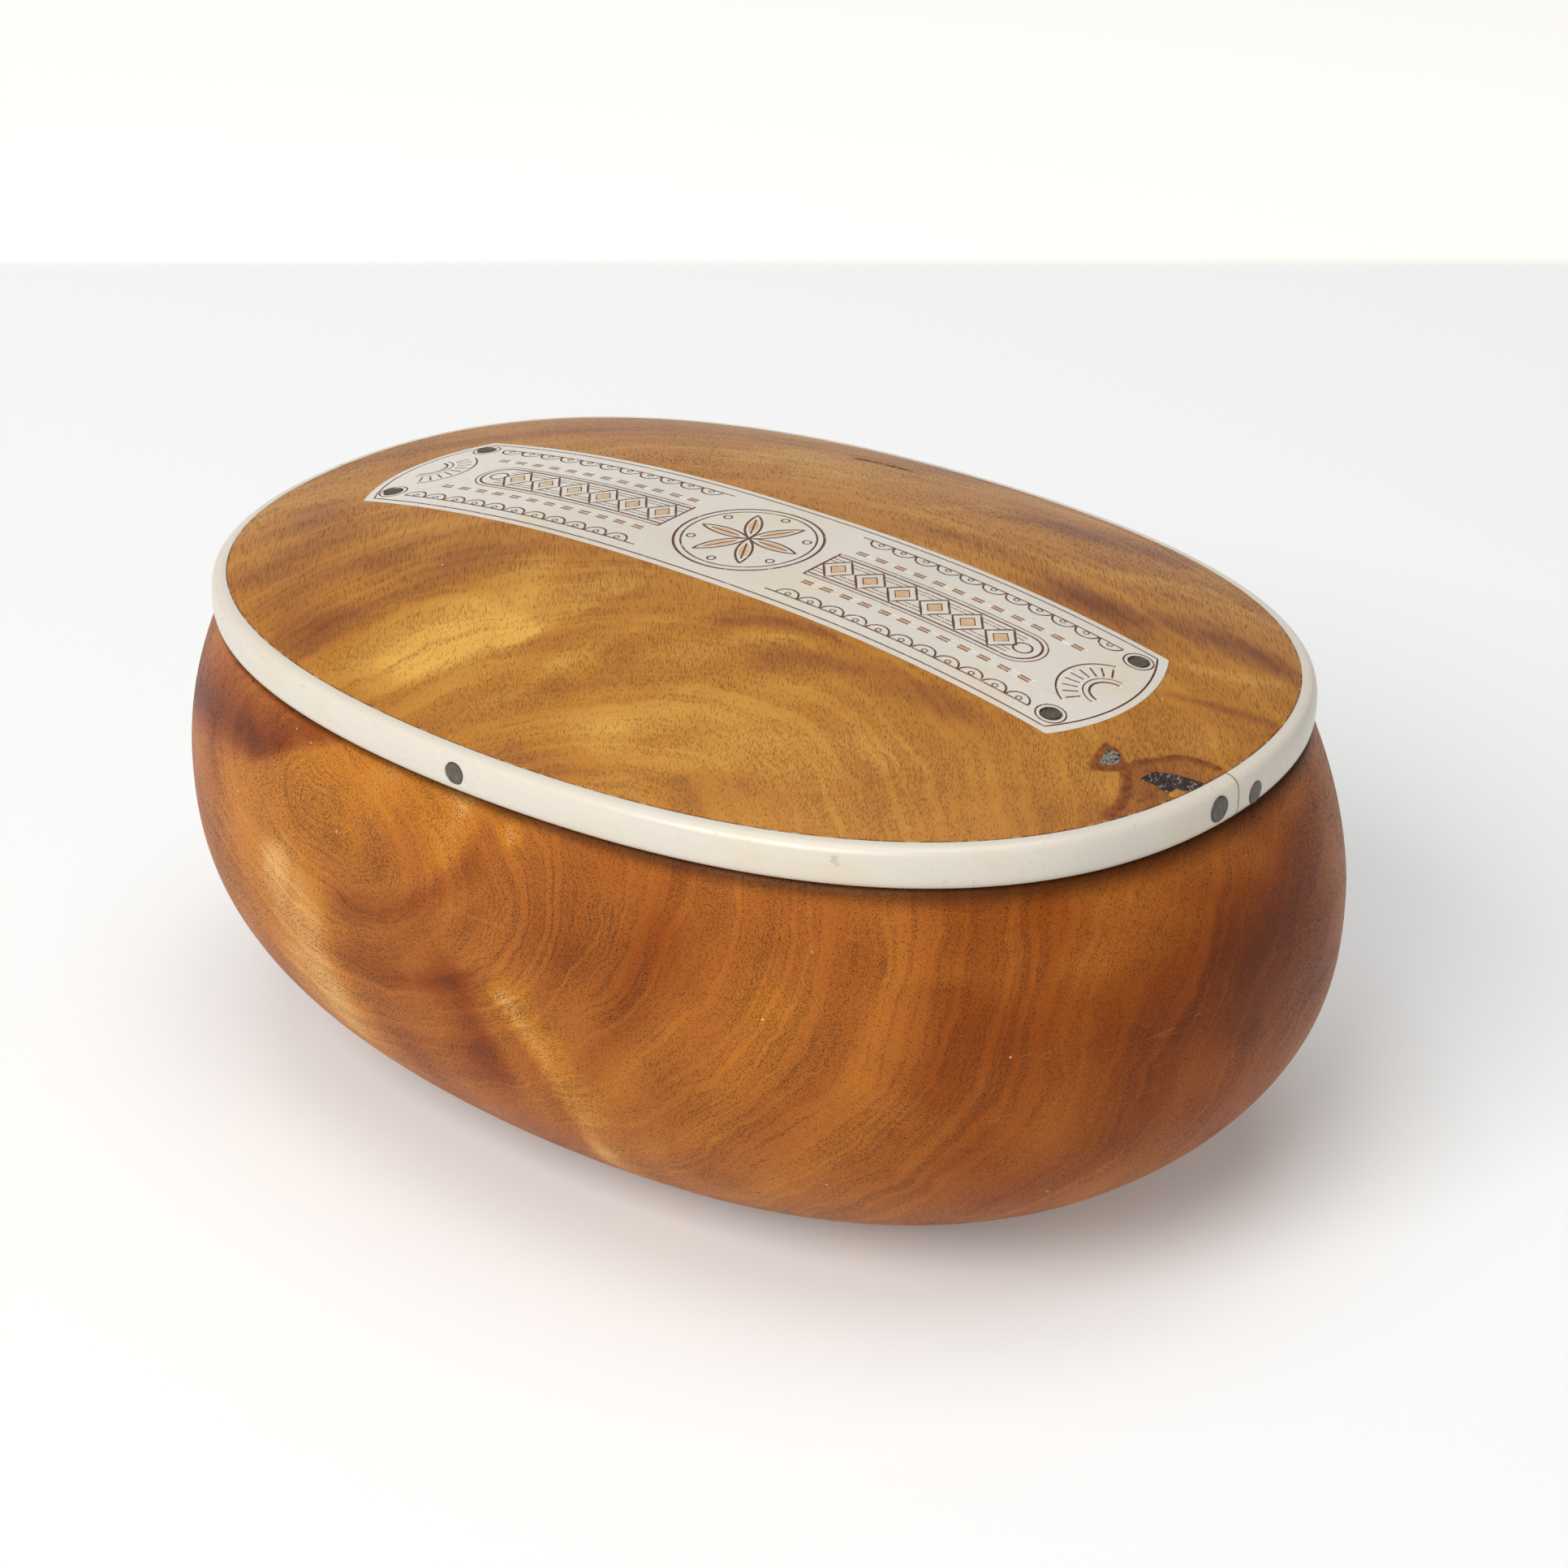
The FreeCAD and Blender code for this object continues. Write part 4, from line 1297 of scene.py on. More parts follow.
def make_lid_board(lid, plate, pins, material):
    """Domed board with a step underneath, a hollow, the plate's recess and the pin holes."""
    angles = board_angles()
    half_length = lid.half_length - lid.band_thickness - lid.glue_gap
    half_width = lid.half_width - lid.band_thickness - lid.glue_gap
    plug_length = lid.half_length - lid.plug_inset
    plug_width = lid.half_width - lid.plug_inset
    hollow_length = plug_length - lid.plug_width
    hollow_width = plug_width - lid.plug_width

    def ring(length_now, width_now, height):
        x, y = oval_points(length_now, width_now, lid.squareness, angles)
        z = height(x, y) if callable(height) else np.full(len(x), height)
        return np.column_stack([x, y, z])

    def roof(x, y):
        return dome_height(lid, x, y) - lid.board_thickness

    rows = []
    for grow in spread(0.0, 1.0, 0.035):
        rows.append(ring(hollow_length * grow, hollow_width * grow, roof))
    foot = lid.seat - lid.plug_depth
    rows.append(ring(hollow_length, hollow_width, foot))
    rows.append(ring(plug_length - lid.plug_edge, plug_width - lid.plug_edge, foot))
    rows.append(ring(plug_length, plug_width, foot + lid.plug_edge))
    rows.append(ring(plug_length, plug_width, lid.seat))
    rows.append(ring(half_length, half_width, lid.seat))
    for rise in spread(0.0, 1.0, 0.25)[1:-1]:
        rows.append(ring(half_length, half_width, lid.seat + lid.band_height * rise))
    for grow in board_shares()[::-1]:
        row = ring(half_length * grow, half_width * grow, lambda x, y: dome_height(lid, x, y))
        row[:, 2] -= lid_dip(lid, row[:, 0], row[:, 1])
        rows.append(row)
    piece = new_piece("lid_wood", swept_mesh(np.array(rows)), material)

    cutters = [recess_cutter(lid, plate)]
    cutters += pin_cutters(plate_pin_places(lid, plate, pins), pins.gap, pins.plate_length)
    cutters += pin_cutters(edge_pin_places(), pins.gap, pins.edge_length)
    cut_with(piece, cutters)
    soften(piece.data, 35)

    def on_lid(point):
        x, y = point[0] * MM, point[1] * MM
        return (x, y, dome_height(lid, x, y))
    for name, strokes in (("figure", LID_FIGURE), ("knot", LID_KNOT), ("bark", LID_BARK)):
        total = paint(piece.data, strokes, on_lid)
        for patch_name, outline, fade, strength in LID_PATCHES:
            if patch_name == name:
                total += strength * patch(lid, piece.data, outline, fade)
        write_numbers(piece.data, name, total)
    places = mesh_places(piece.data)
    dark_edge = 0.6 * MM
    rim = 1 - (1 - lid_share(lid, places[:, 0], places[:, 1])) * lid.half_width / dark_edge
    write_numbers(piece.data, "rim", np.clip(rim, 0, 1))
    return piece


def plate_outline(plate, grow, steps=40):
    """Plan points of the plate's outline: straight sides and a convex arc at each end."""
    x = plate.half_length + grow
    y = plate.half_width + grow
    radius = (y * y + plate.end_bulge ** 2) / (2 * plate.end_bulge)
    middle = x + plate.end_bulge - radius
    half_angle = math.asin(y / radius)
    side_steps = 100
    points = []
    for side in (1, -1):
        for step in range(steps + 1):
            angle = half_angle * (2 * step / steps - 1)
            points.append((side * (middle + radius * math.cos(angle)), side * radius * math.sin(angle)))
        for step in range(1, side_steps):
            points.append((side * x * (1 - 2 * step / side_steps), side * y))
    return points


def recess_cutter(lid, plate):
    """Closed block over the plate's bed, which follows the dome."""
    outline = plate_outline(plate, plate.fit)
    edges = [(i, (i + 1) % len(outline)) for i in range(len(outline))]
    inside = []
    for x in spread(-plate.half_length, plate.half_length, 3 * MM)[1:-1]:
        for y in spread(-plate.half_width, plate.half_width, 3 * MM)[1:-1]:
            inside.append((x, y))
    flat = [Vector(point) for point in outline + inside]
    points, _, faces = delaunay_2d_cdt(flat, edges, [], 0, 1e-9)[:3]
    bed = []
    for point in points:
        bed.append((point.x, point.y, dome_height(lid, point.x, point.y) - plate.thickness - lid.glue_gap))
    return new_object("cutter", thick_mesh(bed, faces, lambda x, y: lid.seat + lid.crown + 3 * MM))


def thick_mesh(points, faces, other_height):
    """Closed mesh between a sheet of triangles and the same sheet at another height."""
    mesh = bpy.data.meshes.new("thick")
    count = len(points)
    vertices = list(points) + [(x, y, other_height(x, y)) for x, y, _ in points]
    kept = [tuple(face) for face in faces]
    flipped = [tuple(count + corner for corner in reversed(face)) for face in kept]
    once = {}
    for face in kept:
        for here, there in zip(face, face[1:] + face[:1]):
            once[(here, there)] = True
    walls = []
    for here, there in once:
        if (there, here) not in once:
            walls.append((there, here, count + here, count + there))
    mesh.from_pydata(vertices, [], kept + flipped + walls)
    with edited(mesh) as work:
        loose = [vertex for vertex in work.verts if not vertex.link_faces]
        bmesh.ops.delete(work, geom=loose, context="VERTS")
        bmesh.ops.recalc_face_normals(work, faces=work.faces)
    return mesh


def plate_pin_places(lid, plate, pins):
    """Centre on the surface, axis and radius of each plate pin."""
    x = plate.half_length - plate.pin_end_inset
    y = plate.half_width - plate.pin_side_inset
    places = []
    for side_x, side_y in ((-1, -1), (1, -1), (-1, 1), (1, 1)):
        here = (side_x * x, side_y * y)
        centre = (*here, float(dome_height(lid, *here)))
        places.append((centre, (0.0, 0.0, 1.0), pins.plate_radius))
    return places


def edge_pin_places():
    """Centre at the outer end, outward axis and radius of each edge pin, read from the frame."""
    places = []
    for name in EDGE_PINS:
        low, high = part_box(name)
        points = mesh_places(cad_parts[name].data)
        middle = points.mean(axis=0)
        flat = points - middle
        flat[:, 2] = 0
        direction = np.linalg.svd(flat, full_matrices=False)[2][0]
        if direction @ middle < 0:
            direction = -direction
        radius = (high.z - low.z) / 2
        reach = ((points - middle) @ direction).max()
        centre = middle + direction * reach
        centre[2] = (high.z + low.z) / 2
        places.append((tuple(centre), tuple(direction), radius))
    return places


# ---- Engraving of the plate, in millimetres on its plan ----

def circle_path(x, y, radius, start=0.0, end=360.0):
    steps = max(10, round(radius * math.radians(abs(end - start)) / 0.9))
    angles = np.radians(np.linspace(start, end, steps + 1))
    return [(x + radius * math.cos(a), y + radius * math.sin(a)) for a in angles]


def polar(radius, degrees):
    """Plan point at a distance and an angle from the middle."""
    angle = math.radians(degrees)
    return radius * math.cos(angle), radius * math.sin(angle)


def straight_path(start, end):
    """Points about 2 mm apart, so that a line can follow the dome."""
    steps = max(1, round(math.dist(start, end) / 2.0))
    return [
        (start[0] + (end[0] - start[0]) * i / steps, start[1] + (end[1] - start[1]) * i / steps)
        for i in range(steps + 1)
    ]


def polygon_path(corners):
    path = []
    for here, there in zip(corners, corners[1:] + corners[:1]):
        path += straight_path(here, there)[:-1]
    return path + [corners[0]]


class Engraving:
    """Lines and tinted fields laid out on the plate's plan."""

    def __init__(self, width):
        self.width = width
        self.lines = []
        self.tints = []

    def line(self, path, weight=1.0):
        self.lines.append((np.array(path), self.width * weight))

    def tint(self, path):
        self.tints.append(np.array(path))


def engrave_rosette(cut):
    """Six petals in a double ring, with a small ring between every two."""
    reach = 10.6
    cut.line(circle_path(0, 0, 13.4), 1.1)
    cut.line(circle_path(0, 0, 12.1), 0.8)
    for turn in range(0, 360, 60):
        one = circle_path(*polar(reach, turn + 60), reach, turn - 120, turn - 60)
        other = circle_path(*polar(reach, turn - 60), reach, turn + 120, turn + 60)
        cut.line(one)
        cut.line(other)
        direction = np.array(polar(1.0, turn))
        cut.line([tuple(direction * away) for away in (2.2, 5.2, 8.6)], 0.7)
        narrow = [tuple(np.array(p) * 0.62 + direction * 2.1) for p in one + other[::-1][1:]]
        cut.tint(narrow[:-1])
        cut.line(circle_path(*polar(10.4, turn + 30), 0.75), 0.8)


def engrave_chain(cut, side):
    """Chain of hatched lozenges between double lines, closed by a round end."""
    start, end, half, pitch = 16.6, 58.6, 4.3, 7.0
    outer = half + 0.95
    doubled = ((half, 1.0), (outer, 0.6))
    for row in (1, -1):
        for reach, weight in doubled:
            cut.line(straight_path((side * start, row * reach), (side * end, row * reach)), weight)
    cut.line(straight_path((side * start, -outer), (side * start, outer)))
    first = -90 if side > 0 else 90
    for reach, weight in doubled:
        cut.line(circle_path(side * end, 0, reach, first, first + 180), weight)
    cut.line(circle_path(side * (end + 1.1), 0, 1.7), 0.9)
    wide, tall = pitch / 2 - 0.25, half - 0.45
    for number in range(6):
        middle = side * (start + pitch * (number + 0.5))
        for size, weight in ((1.0, 1.0), (0.5, 0.6)):
            lozenge = [
                (middle - wide * size, 0), (middle, -tall * size),
                (middle + wide * size, 0), (middle, tall * size),
            ]
            cut.line(polygon_path(lozenge), weight)
        cut.tint(lozenge)
        for corner_x in (-1, 1):
            for corner_y in (-1, 1):
                for hatch in (0.3, 0.55, 0.8):
                    foot = (middle + corner_x * (wide + 0.1), corner_y * tall * hatch)
                    head = (middle + corner_x * wide * (1 - hatch) * 1.25, corner_y * tall * hatch)
                    if abs(foot[0] - head[0]) > 0.6:
                        cut.line([foot, head], 0.55)


def engrave_borders(cut, side):
    """Paired dashes and a row of scallops along both long sides."""
    dash_row, dash_pitch, dash_length = 7.75, 4.2, 2.3
    arch_row, arch_pitch, arch_radius = 13.9, 4.9, 2.3
    for row in (1, -1):
        level = row * dash_row
        for number in range(12):
            x = side * (18.2 + dash_pitch * number)
            end = x + side * dash_length
            for shift in (-0.42, 0.42):
                cut.line([(x, level + shift), (end, level + shift)], 0.75)
            cut.tint([(x, level - 0.3), (end, level - 0.3), (end, level + 0.3), (x, level + 0.3)])
        first = 180 if row > 0 else 0
        for number in range(11):
            middle = side * (17.0 + arch_pitch * number) + side * arch_pitch / 2
            cut.line(circle_path(middle, row * arch_row, arch_radius, first, first + 180), 0.85)
            cut.line(circle_path(middle, row * 13.2, 0.5), 0.6)
        cut.line(straight_path((side * 14.8, row * arch_row), (side * 70.6, row * arch_row)), 0.8)


def engrave_ends(cut, side, plate):
    """Half sun at each end and a ring round each corner pin."""
    middle = side * 77.6
    facing = 180 if side > 0 else 0
    for radius, weight, half_turn in ((3.4, 1.0, 84), (4.5, 0.6, 84), (9.0, 0.8, 62)):
        cut.line(circle_path(middle, 0, radius, facing - half_turn, facing + half_turn), weight)
    for ray in range(-4, 5):
        ends = [polar(away, facing + ray * 15) for away in (5.3, 8.0)]
        cut.line([(middle + x, y) for x, y in ends], 0.8)
    x = side * (plate.half_length - plate.pin_end_inset) / MM
    y = (plate.half_width - plate.pin_side_inset) / MM
    for row in (1, -1):
        cut.line(circle_path(x, row * y, 2.62), 0.7)


def make_engraving(plate):
    """The whole ornament, inside one line that follows the plate's outline."""
    cut = Engraving(plate.line_width / MM)
    outline = [(x / MM, y / MM) for x, y in plate_outline(plate, -1.4 * MM, 30)]
    cut.line(outline + outline[:1], 0.8)
    engrave_rosette(cut)
    for side in (1, -1):
        engrave_chain(cut, side)
        engrave_borders(cut, side)
        engrave_ends(cut, side, plate)
    return cut


def line_edges(path, width):
    """One side, the middle and the other side of an engraved line, as paths."""
    ahead = np.zeros_like(path)
    closed = np.allclose(path[0], path[-1])
    ahead[1:-1] = path[2:] - path[:-2]
    ahead[0] = path[1] - (path[-2] if closed else path[0])
    ahead[-1] = (path[1] if closed else path[-1]) - path[-2]
    ahead /= np.linalg.norm(ahead, axis=1)[:, None]
    across = np.column_stack([-ahead[:, 1], ahead[:, 0]]) * width / 2
    return path + across, path, path - across


def distance_to_path(points, path):
    best = np.full(len(points), np.inf)
    for start, end in zip(path[:-1], path[1:]):
        along = end - start
        t = np.clip((points - start) @ along / (along @ along), 0, 1)
        away = points - start - t[:, None] * along
        best = np.minimum(best, np.einsum("ij,ij->i", away, away))
    return np.sqrt(best)


def cut_shares(points, lines):
    """How deep the engraving lies at plan points, from 0 at the surface to 1 in the middle of a line."""
    deepest = np.zeros(len(points))
    for path, width in lines:
        low = path.min(axis=0) - width
        high = path.max(axis=0) + width
        near = np.flatnonzero(np.all((points > low) & (points < high), axis=1))
        if len(near):
            shares = 1 - distance_to_path(points[near], path) / (width / 2)
            deepest[near] = np.maximum(deepest[near], shares * min(1, width / lines[0][1]))
    return np.clip(deepest, 0, 1)


def inside_polygon(points, polygon):
    inside = np.zeros(len(points), dtype=bool)
    before = polygon[-1]
    for corner in polygon:
        crosses = (corner[1] > points[:, 1]) != (before[1] > points[:, 1])
        across, along = before - corner
        with np.errstate(divide="ignore", invalid="ignore"):
            reach = across * (points[:, 1] - corner[1]) / along + corner[0]
        inside ^= crosses & (points[:, 0] < reach)
        before = corner
    return inside


def make_plate(lid, plate, pins, material):
    """Antler plate bent to the dome, with its engraving cut in as grooves."""
    cut = make_engraving(plate)
    flat = []
    edges = []

    def add_path(path, closed):
        first = len(flat)
        flat.extend(tuple(point) for point in path)
        for step in range(len(path) - 1):
            edges.append((first + step, first + step + 1))
        if closed:
            edges.append((len(flat) - 1, first))

    add_path([(x / MM, y / MM) for x, y in plate_outline(plate, 0.0)], True)
    hole = (pins.plate_radius + pins.gap) / MM
    centres = [(c[0] / MM, c[1] / MM) for c, _, _ in plate_pin_places(lid, plate, pins)]
    for x, y in centres:
        add_path(circle_path(x, y, hole)[:-1], True)
    for path, width in cut.lines:
        for side in line_edges(path, width):
            add_path(side, False)
    for path in cut.tints:
        add_path(path, True)
    # Points between the lines let the sheet follow the dome.
    grid_x, grid_y, grid_step = 78.0, 16.6, 1.7
    for x in spread(-grid_x, grid_x, grid_step):
        for y in spread(-grid_y, grid_y, grid_step):
            flat.append((x, y))
    made = delaunay_2d_cdt([Vector(point) for point in flat], edges, [], 0, 1e-5)
    points = np.array([(p.x, p.y) for p in made[0]])
    faces = np.array([tuple(face) for face in made[2]])
    middles = points[faces].mean(axis=1)
    keep = np.ones(len(faces), dtype=bool)
    for x, y in centres:
        keep &= np.hypot(middles[:, 0] - x, middles[:, 1] - y) > hole
    faces = faces[keep]
    middles = middles[keep]
    ink = cut_shares(middles, cut.lines) > 0.0
    tint = np.zeros(len(middles), dtype=bool)
    for path in cut.tints:
        tint |= inside_polygon(middles, path)

    depth = cut_shares(points, cut.lines) * plate.line_depth
    x, y = points[:, 0] * MM, points[:, 1] * MM
    top = np.column_stack([x, y, dome_height(lid, x, y) - depth])
    mesh = thick_mesh(
        [tuple(point) for point in top], [tuple(int(c) for c in face) for face in faces],
        lambda px, py: float(dome_height(lid, px, py)) - plate.thickness)
    add_face_mask(mesh, "ink", ink)
    add_face_mask(mesh, "tint", tint & ~ink)
    piece = new_piece("engraved_plate", mesh, material)
    soften(mesh, 22)
    return piece


def add_face_mask(mesh, name, mask):
    """Marks the first faces of a mesh, which are its engraved side."""
    values = np.zeros(len(mesh.polygons), dtype=np.float32)
    values[:len(mask)] = mask
    layer = mesh.attributes.new(name, "FLOAT", "FACE")
    layer.data.foreach_set("value", values)


def make_strip(name, lid, pins, start, material):
    """One antler strip between the two joints, with its pin holes."""
    piece = new_piece(name, bpy.data.meshes.new(name), material)
    half_gap = lid.joint_gap / 2 / lid.half_length
    run_tree(piece, make_strip_tree(), {
        "Half Length": lid.half_length,
        "Half Width": lid.half_width,
        "Squareness": lid.squareness,
        "Seat": lid.seat,
        "Height": lid.band_height,
        "Thickness": lid.band_thickness,
        "Roundness": lid.band_roundness,
        "Tilt": lid.band_tilt,
        "Start": start + half_gap,
        "Sweep": math.pi - 2 * half_gap,
    }, material)
    close_ends(piece.data)
    middle = start + math.pi / 2
    facing = np.array((math.cos(middle), math.sin(middle), 0.0))
    # The margin keeps the pins that stand beside the joints.
    margin = 6 * MM
    near = [place for place in edge_pin_places() if np.array(place[0]) @ facing > -margin]
    cut_with(piece, pin_cutters(near, pins.gap, pins.edge_length))
    soften(piece.data, 35)
    places = mesh_places(piece.data)
    angles = np.arctan2(places[:, 1] / lid.half_width, places[:, 0] / lid.half_length)
    mean_half = (lid.half_length + lid.half_width) / 2
    inset = mean_half * (lid_share(lid, places[:, 0], places[:, 1]) - 1)
    write_vectors(piece.data, "strip_place", np.column_stack([angles * mean_half, inset, places[:, 2]]))
    turns = (angles - math.radians(lid.joint_angle)) / math.pi
    write_numbers(piece.data, "joint_distance", np.abs(turns - np.round(turns)) * math.pi * lid.half_width)
    return piece


def make_pins(name, places, pin_length, pins, material):
    """Pins as one mesh, set out from points that carry each pin's axis and radius."""
    mesh = bpy.data.meshes.new(name)
    mesh.from_pydata([centre for centre, _, _ in places], [], [])
    write_vectors(mesh, "pin_axis", [axis for _, axis, _ in places])
    write_numbers(mesh, "pin_radius", [radius for _, _, radius in places])
    piece = new_piece(name, mesh, material)
    edge_share = 0.06
    values = {"Length": pin_length, "Crown": pins.crown, "Edge": edge_share}
    run_tree(piece, make_pin_tree(), values, material)
    local = read_vectors(piece.data.attributes["pin_local"].data, "vector")
    size = np.zeros(len(piece.data.vertices))
    piece.data.attributes["pin_size"].data.foreach_get("value", size)
    local[:, :2] *= size[:, None]
    write_vectors(piece.data, "pin_place", local)
    soften(piece.data, 40)
    return piece


# ---- Stage ----

CAMERA_PLACE = (0.41539, -0.50646, 0.39010)
CAMERA_AIM = (-0.55815, 0.69383, -0.45505)
CAMERA_LENS = 92.75
# Distance ahead of the camera where the floor turns paler.
FAR_LINE = 1.09
LIGHT_AIM = (0, 0, 0.05)
LIGHT_TINT = (1.0, 1.0, 0.99)
# Directions of the room's brightest wall and of the pale card that shows in the box's shine.
BRIGHT_SIDE = (-0.3, 0.95, 0.0)
CARD_SIDE = (-0.56, 0.69, 0.46)


def make_floor(look):
    """Pale floor that glows a little, more so in the distance."""
    reach = 4.0
    mesh = bpy.data.meshes.new("floor")
    corners = [(-reach, -reach, 0), (reach, -reach, 0), (reach, reach, 0), (-reach, reach, 0)]
    mesh.from_pydata(corners, [], [(0, 1, 2, 3)])
    material, maker, shader = new_material("pale_floor")
    place = object_place(maker)
    ahead = Vector((CAMERA_AIM[0], CAMERA_AIM[1], 0)).normalized()
    far = maker.aim("DOT_PRODUCT", maker.aim("SUBTRACT", place, CAMERA_PLACE), ahead)
    beyond = maker.smooth(far, FAR_LINE - 0.006, FAR_LINE + 0.006)
    surface = maker.mix(beyond, rgba(look.floor), rgba(look.distance))
    cloud = maker.noise(place, 6.0, 2.0)
    shade = maker.mix(cloud * 0.03, surface, rgba(look.distance), "MULTIPLY")
    maker.fill(shader, {
        "Base Color": shade,
        "Emission Color": shade,
        "Emission Strength": maker.smooth(far, 0.6, 1.25) * look.far_glow + look.floor_glow,
        "Roughness": 0.6,
        "Specular IOR Level": 0.25,
    })
    return new_piece("floor", mesh, material)


def add_light(name, place, width, height, energy):
    """Rectangular light that looks at the box."""
    data = bpy.data.lights.new(name, "AREA")
    data.shape = "RECTANGLE"
    data.size = width
    data.size_y = height
    data.energy = energy
    data.color = LIGHT_TINT
    lamp = new_object(name, data)
    lamp.location = place
    lamp.rotation_euler = (Vector(LIGHT_AIM) - Vector(place)).to_track_quat("-Z", "Y").to_euler()


def make_room(look):
    """Pale walls that fade into a dark ceiling. Only part of them shows in the box's shine."""
    world = bpy.data.worlds.new("pale_room")
    world.use_nodes = True
    maker = Maker(world.node_tree)
    direction = maker.out("ShaderNodeTexCoord", None, "Generated")
    low = maker.smooth(maker.split(direction)[2], 0.45, 0.15)
    lit_side = maker.smooth(maker.aim("DOT_PRODUCT", direction, BRIGHT_SIDE), -0.3, 0.7) * 0.85 + 0.15
    strength = low * lit_side * (look.walls - look.ceiling) + look.ceiling
    shiny = maker.out("ShaderNodeLightPath", None, "Is Glossy Ray")
    card = maker.smooth(maker.aim("DOT_PRODUCT", direction, CARD_SIDE), 0.7, 0.93)
    seen = 1.0 - shiny * (1.0 - card) * (1.0 - look.shine)
    maker.fill(world.node_tree.nodes["Background"], {
        "Color": (1.0, 1.0, 0.995, 1.0),
        "Strength": strength * seen,
    })
    bpy.context.scene.world = world


def make_stage(look):
    floor = make_floor(look)
    add_light("key", (0.12, -1.88, 1.65), 1.7, 1.3, look.key_power)
    add_light("top", (0.1, -0.1, 2.8), 2.2, 2.2, look.top_power)
    make_room(look)
    camera = new_object("camera", bpy.data.cameras.new("camera"))
    camera.data.lens = CAMERA_LENS
    camera.data.sensor_width = 36.0
    camera.location = CAMERA_PLACE
    camera.rotation_euler = Vector(CAMERA_AIM).to_track_quat("-Z", "Y").to_euler()
    bpy.context.scene.camera = camera
    bpy.context.scene.view_settings.view_transform = "Standard"


# ---- Operators ----

class BOX_OT_bowl(Operator):
    """Make the carved bowl"""
    bl_idname = "box.bowl"
    bl_label = "Bowl"

    def execute(self, context):
        scene = context.scene
        material = make_wood_material(
            "bowl_wood", scene.bowl_look, (-0.03, -0.085, 0.07), (0.35, -0.9, 0.1), (-0.63, 0.74, 0.2),
            BOWL_AMOUNTS)
        piece = make_bowl(scene.bowl_sizes, scene.lid_sizes, material)
        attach(piece, "bowl")
        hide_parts("bowl")
        return {"FINISHED"}


class BOX_OT_lid_board(Operator):
    """Make the lid's wooden board"""
    bl_idname = "box.lid_board"
    bl_label = "Lid board"

    def execute(self, context):
        scene = context.scene
        material = make_wood_material(
            "lid_wood", scene.lid_look, (0.02, -0.11, 0.0), (0.1, 0.1, 1.0), (-0.63, 0.78, 0.0),
            LID_AMOUNTS)
        piece = make_lid_board(scene.lid_sizes, scene.plate_sizes, scene.pin_sizes, material)
        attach(piece, "lid")
        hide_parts("lid_board")
        return {"FINISHED"}


class BOX_OT_inlay_plate(Operator):
    """Make the engraved antler plate"""
    bl_idname = "box.inlay_plate"
    bl_label = "Inlay plate"

    def execute(self, context):
        scene = context.scene
        places = plate_pin_places(scene.lid_sizes, scene.plate_sizes, scene.pin_sizes)
        pins = [(centre, radius) for centre, _, radius in places]
        material = make_plate_material(scene.antler_look, pins)
        piece = make_plate(scene.lid_sizes, scene.plate_sizes, scene.pin_sizes, material)
        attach(piece, "lid")
        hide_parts("inlay_plate")
        return {"FINISHED"}


class BOX_OT_edge_strips(Operator):
    """Make the two antler strips round the lid"""
    bl_idname = "box.edge_strips"
    bl_label = "Edge strips"

    def execute(self, context):
        scene = context.scene
        lid = scene.lid_sizes
        pins = [(centre, radius) for centre, _, radius in edge_pin_places()]
        start = math.radians(lid.joint_angle)
        material = make_strip_material(scene.antler_look, pins)
        for side, begin in (("back", start), ("front", start + math.pi)):
            piece = make_strip("band_" + side, lid, scene.pin_sizes, begin, material)
            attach(piece, "lid")
            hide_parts("edge_strip_" + side)
        return {"FINISHED"}


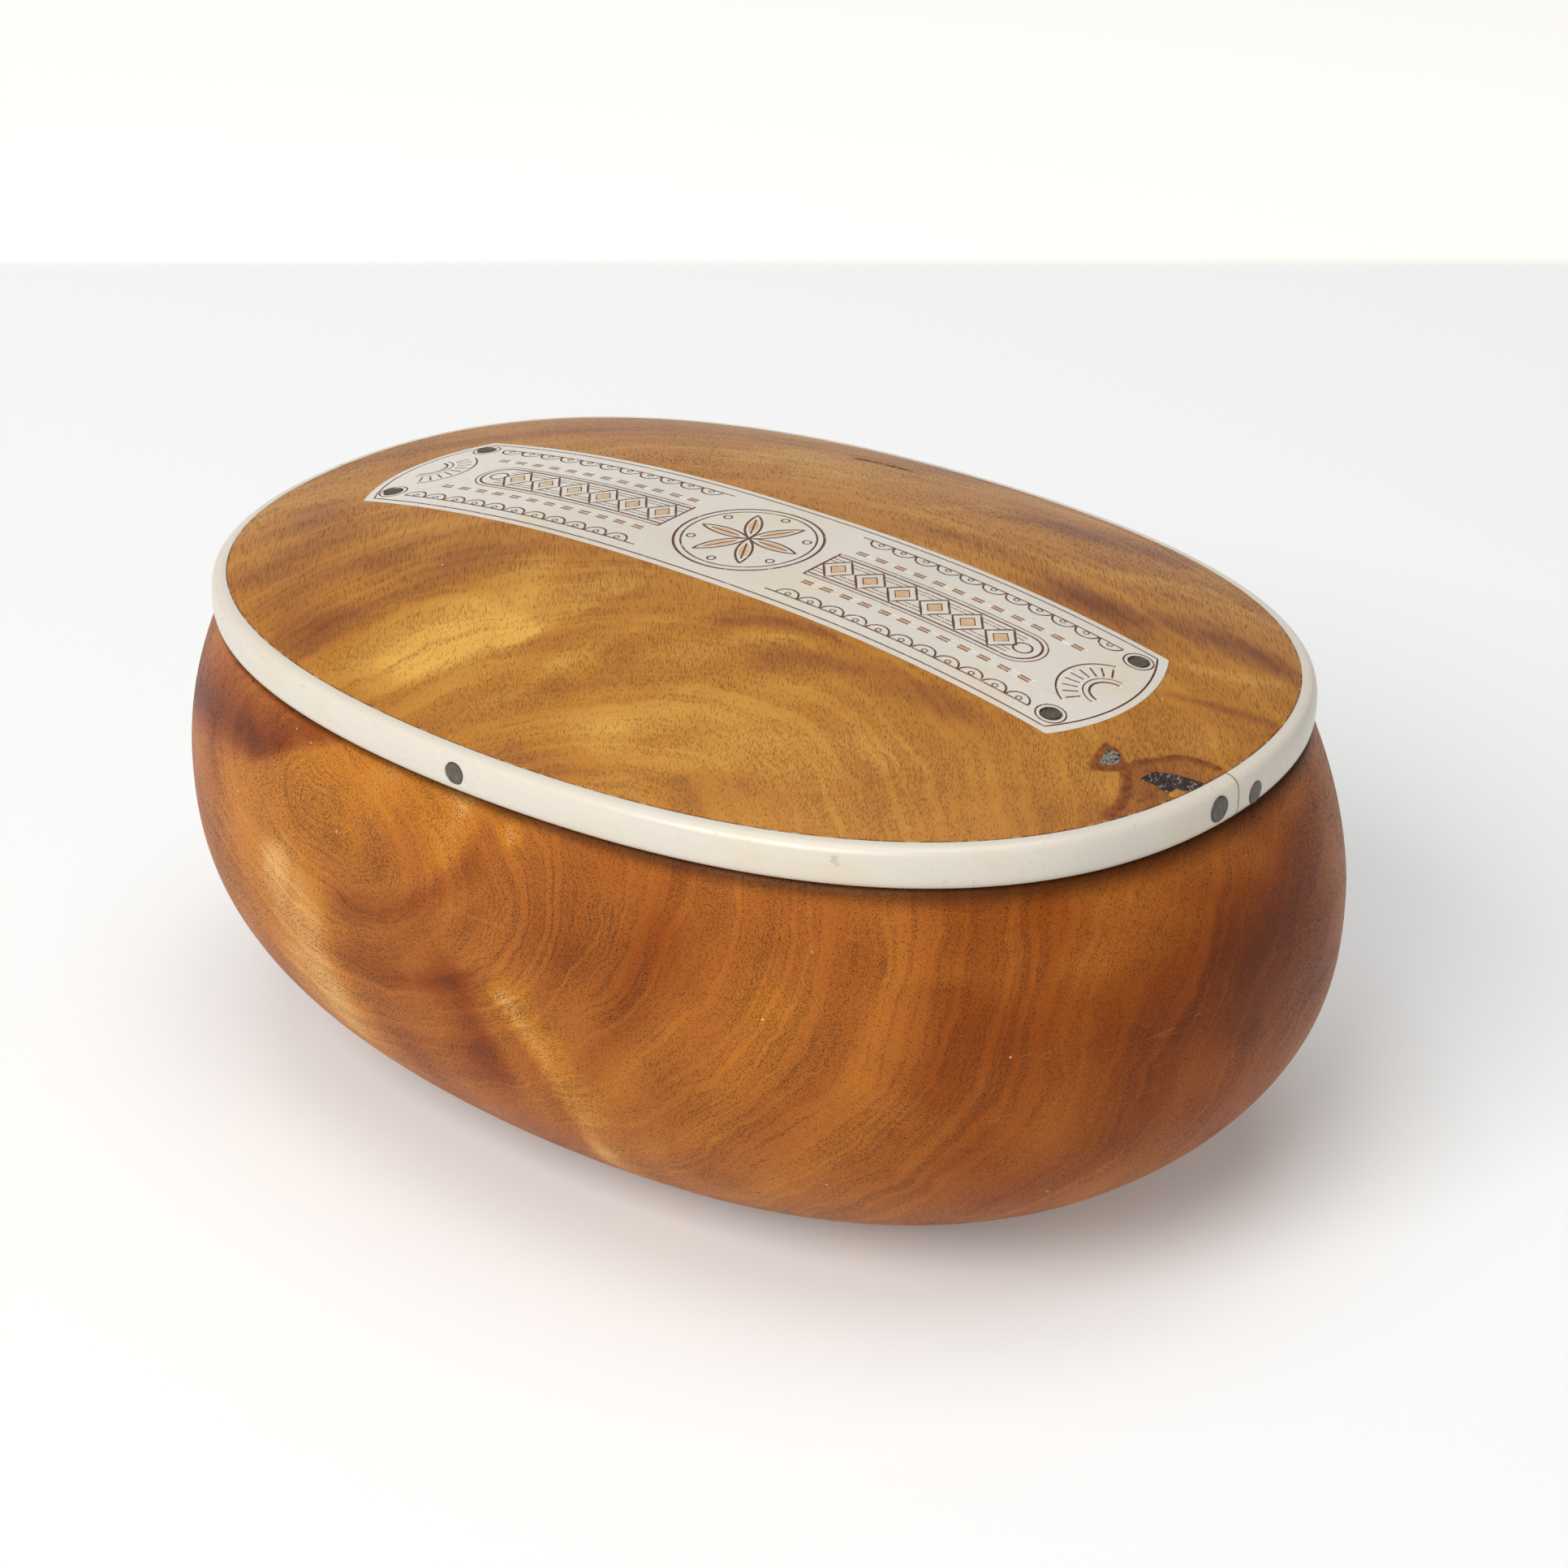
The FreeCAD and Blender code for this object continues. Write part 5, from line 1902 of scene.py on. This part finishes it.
class BOX_OT_pins(Operator):
    """Make the horn pins of the plate and of the band"""
    bl_idname = "box.pins"
    bl_label = "Pins"

    def execute(self, context):
        scene = context.scene
        pins = scene.pin_sizes
        material = make_horn_material(scene.horn_look)
        plate_places = plate_pin_places(scene.lid_sizes, scene.plate_sizes, pins)
        groups = (
            ("plate_pins", plate_places, pins.plate_length, PLATE_PINS),
            ("edge_pins", edge_pin_places(), pins.edge_length, EDGE_PINS),
        )
        for name, places, pin_length, nodes in groups:
            piece = make_pins(name, places, pin_length, pins, material)
            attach(piece, "lid")
            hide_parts(*nodes)
        return {"FINISHED"}


class BOX_OT_stage(Operator):
    """Make the pale floor, the soft lights and the camera"""
    bl_idname = "box.stage"
    bl_label = "Stage"

    def execute(self, context):
        make_stage(context.scene.stage_look)
        return {"FINISHED"}


OPERATORS = (
    BOX_OT_stage, BOX_OT_bowl, BOX_OT_lid_board, BOX_OT_inlay_plate, BOX_OT_edge_strips, BOX_OT_pins,
)


class BOX_PT_panel(Panel):
    """Lists the pieces of the box"""
    bl_idname = "BOX_PT_panel"
    bl_label = "Lidded oval box"
    bl_space_type = "VIEW_3D"
    bl_region_type = "UI"
    bl_category = "Box"

    def draw(self, context):
        for operator in OPERATORS:
            self.layout.operator(operator.bl_idname)


SETTINGS = {
    "lid_sizes": LidSizes,
    "bowl_sizes": BowlSizes,
    "plate_sizes": PlateSizes,
    "pin_sizes": PinSizes,
    "lid_look": WoodLook,
    "bowl_look": BowlLook,
    "antler_look": AntlerLook,
    "horn_look": HornLook,
    "stage_look": StageLook,
}


def register():
    for kind in SETTINGS.values():
        bpy.utils.register_class(kind)
    for operator in OPERATORS:
        bpy.utils.register_class(operator)
    bpy.utils.register_class(BOX_PT_panel)
    for name, kind in SETTINGS.items():
        setattr(bpy.types.Scene, name, PointerProperty(type=kind))


def unregister():
    for name in SETTINGS:
        delattr(bpy.types.Scene, name)
    bpy.utils.unregister_class(BOX_PT_panel)
    for operator in reversed(OPERATORS):
        bpy.utils.unregister_class(operator)
    for kind in reversed(SETTINGS.values()):
        bpy.utils.unregister_class(kind)


def main():
    register()
    for operator in OPERATORS:
        getattr(bpy.ops.box, operator.bl_idname.split(".")[1])()


if __name__ == "__main__":
    main()
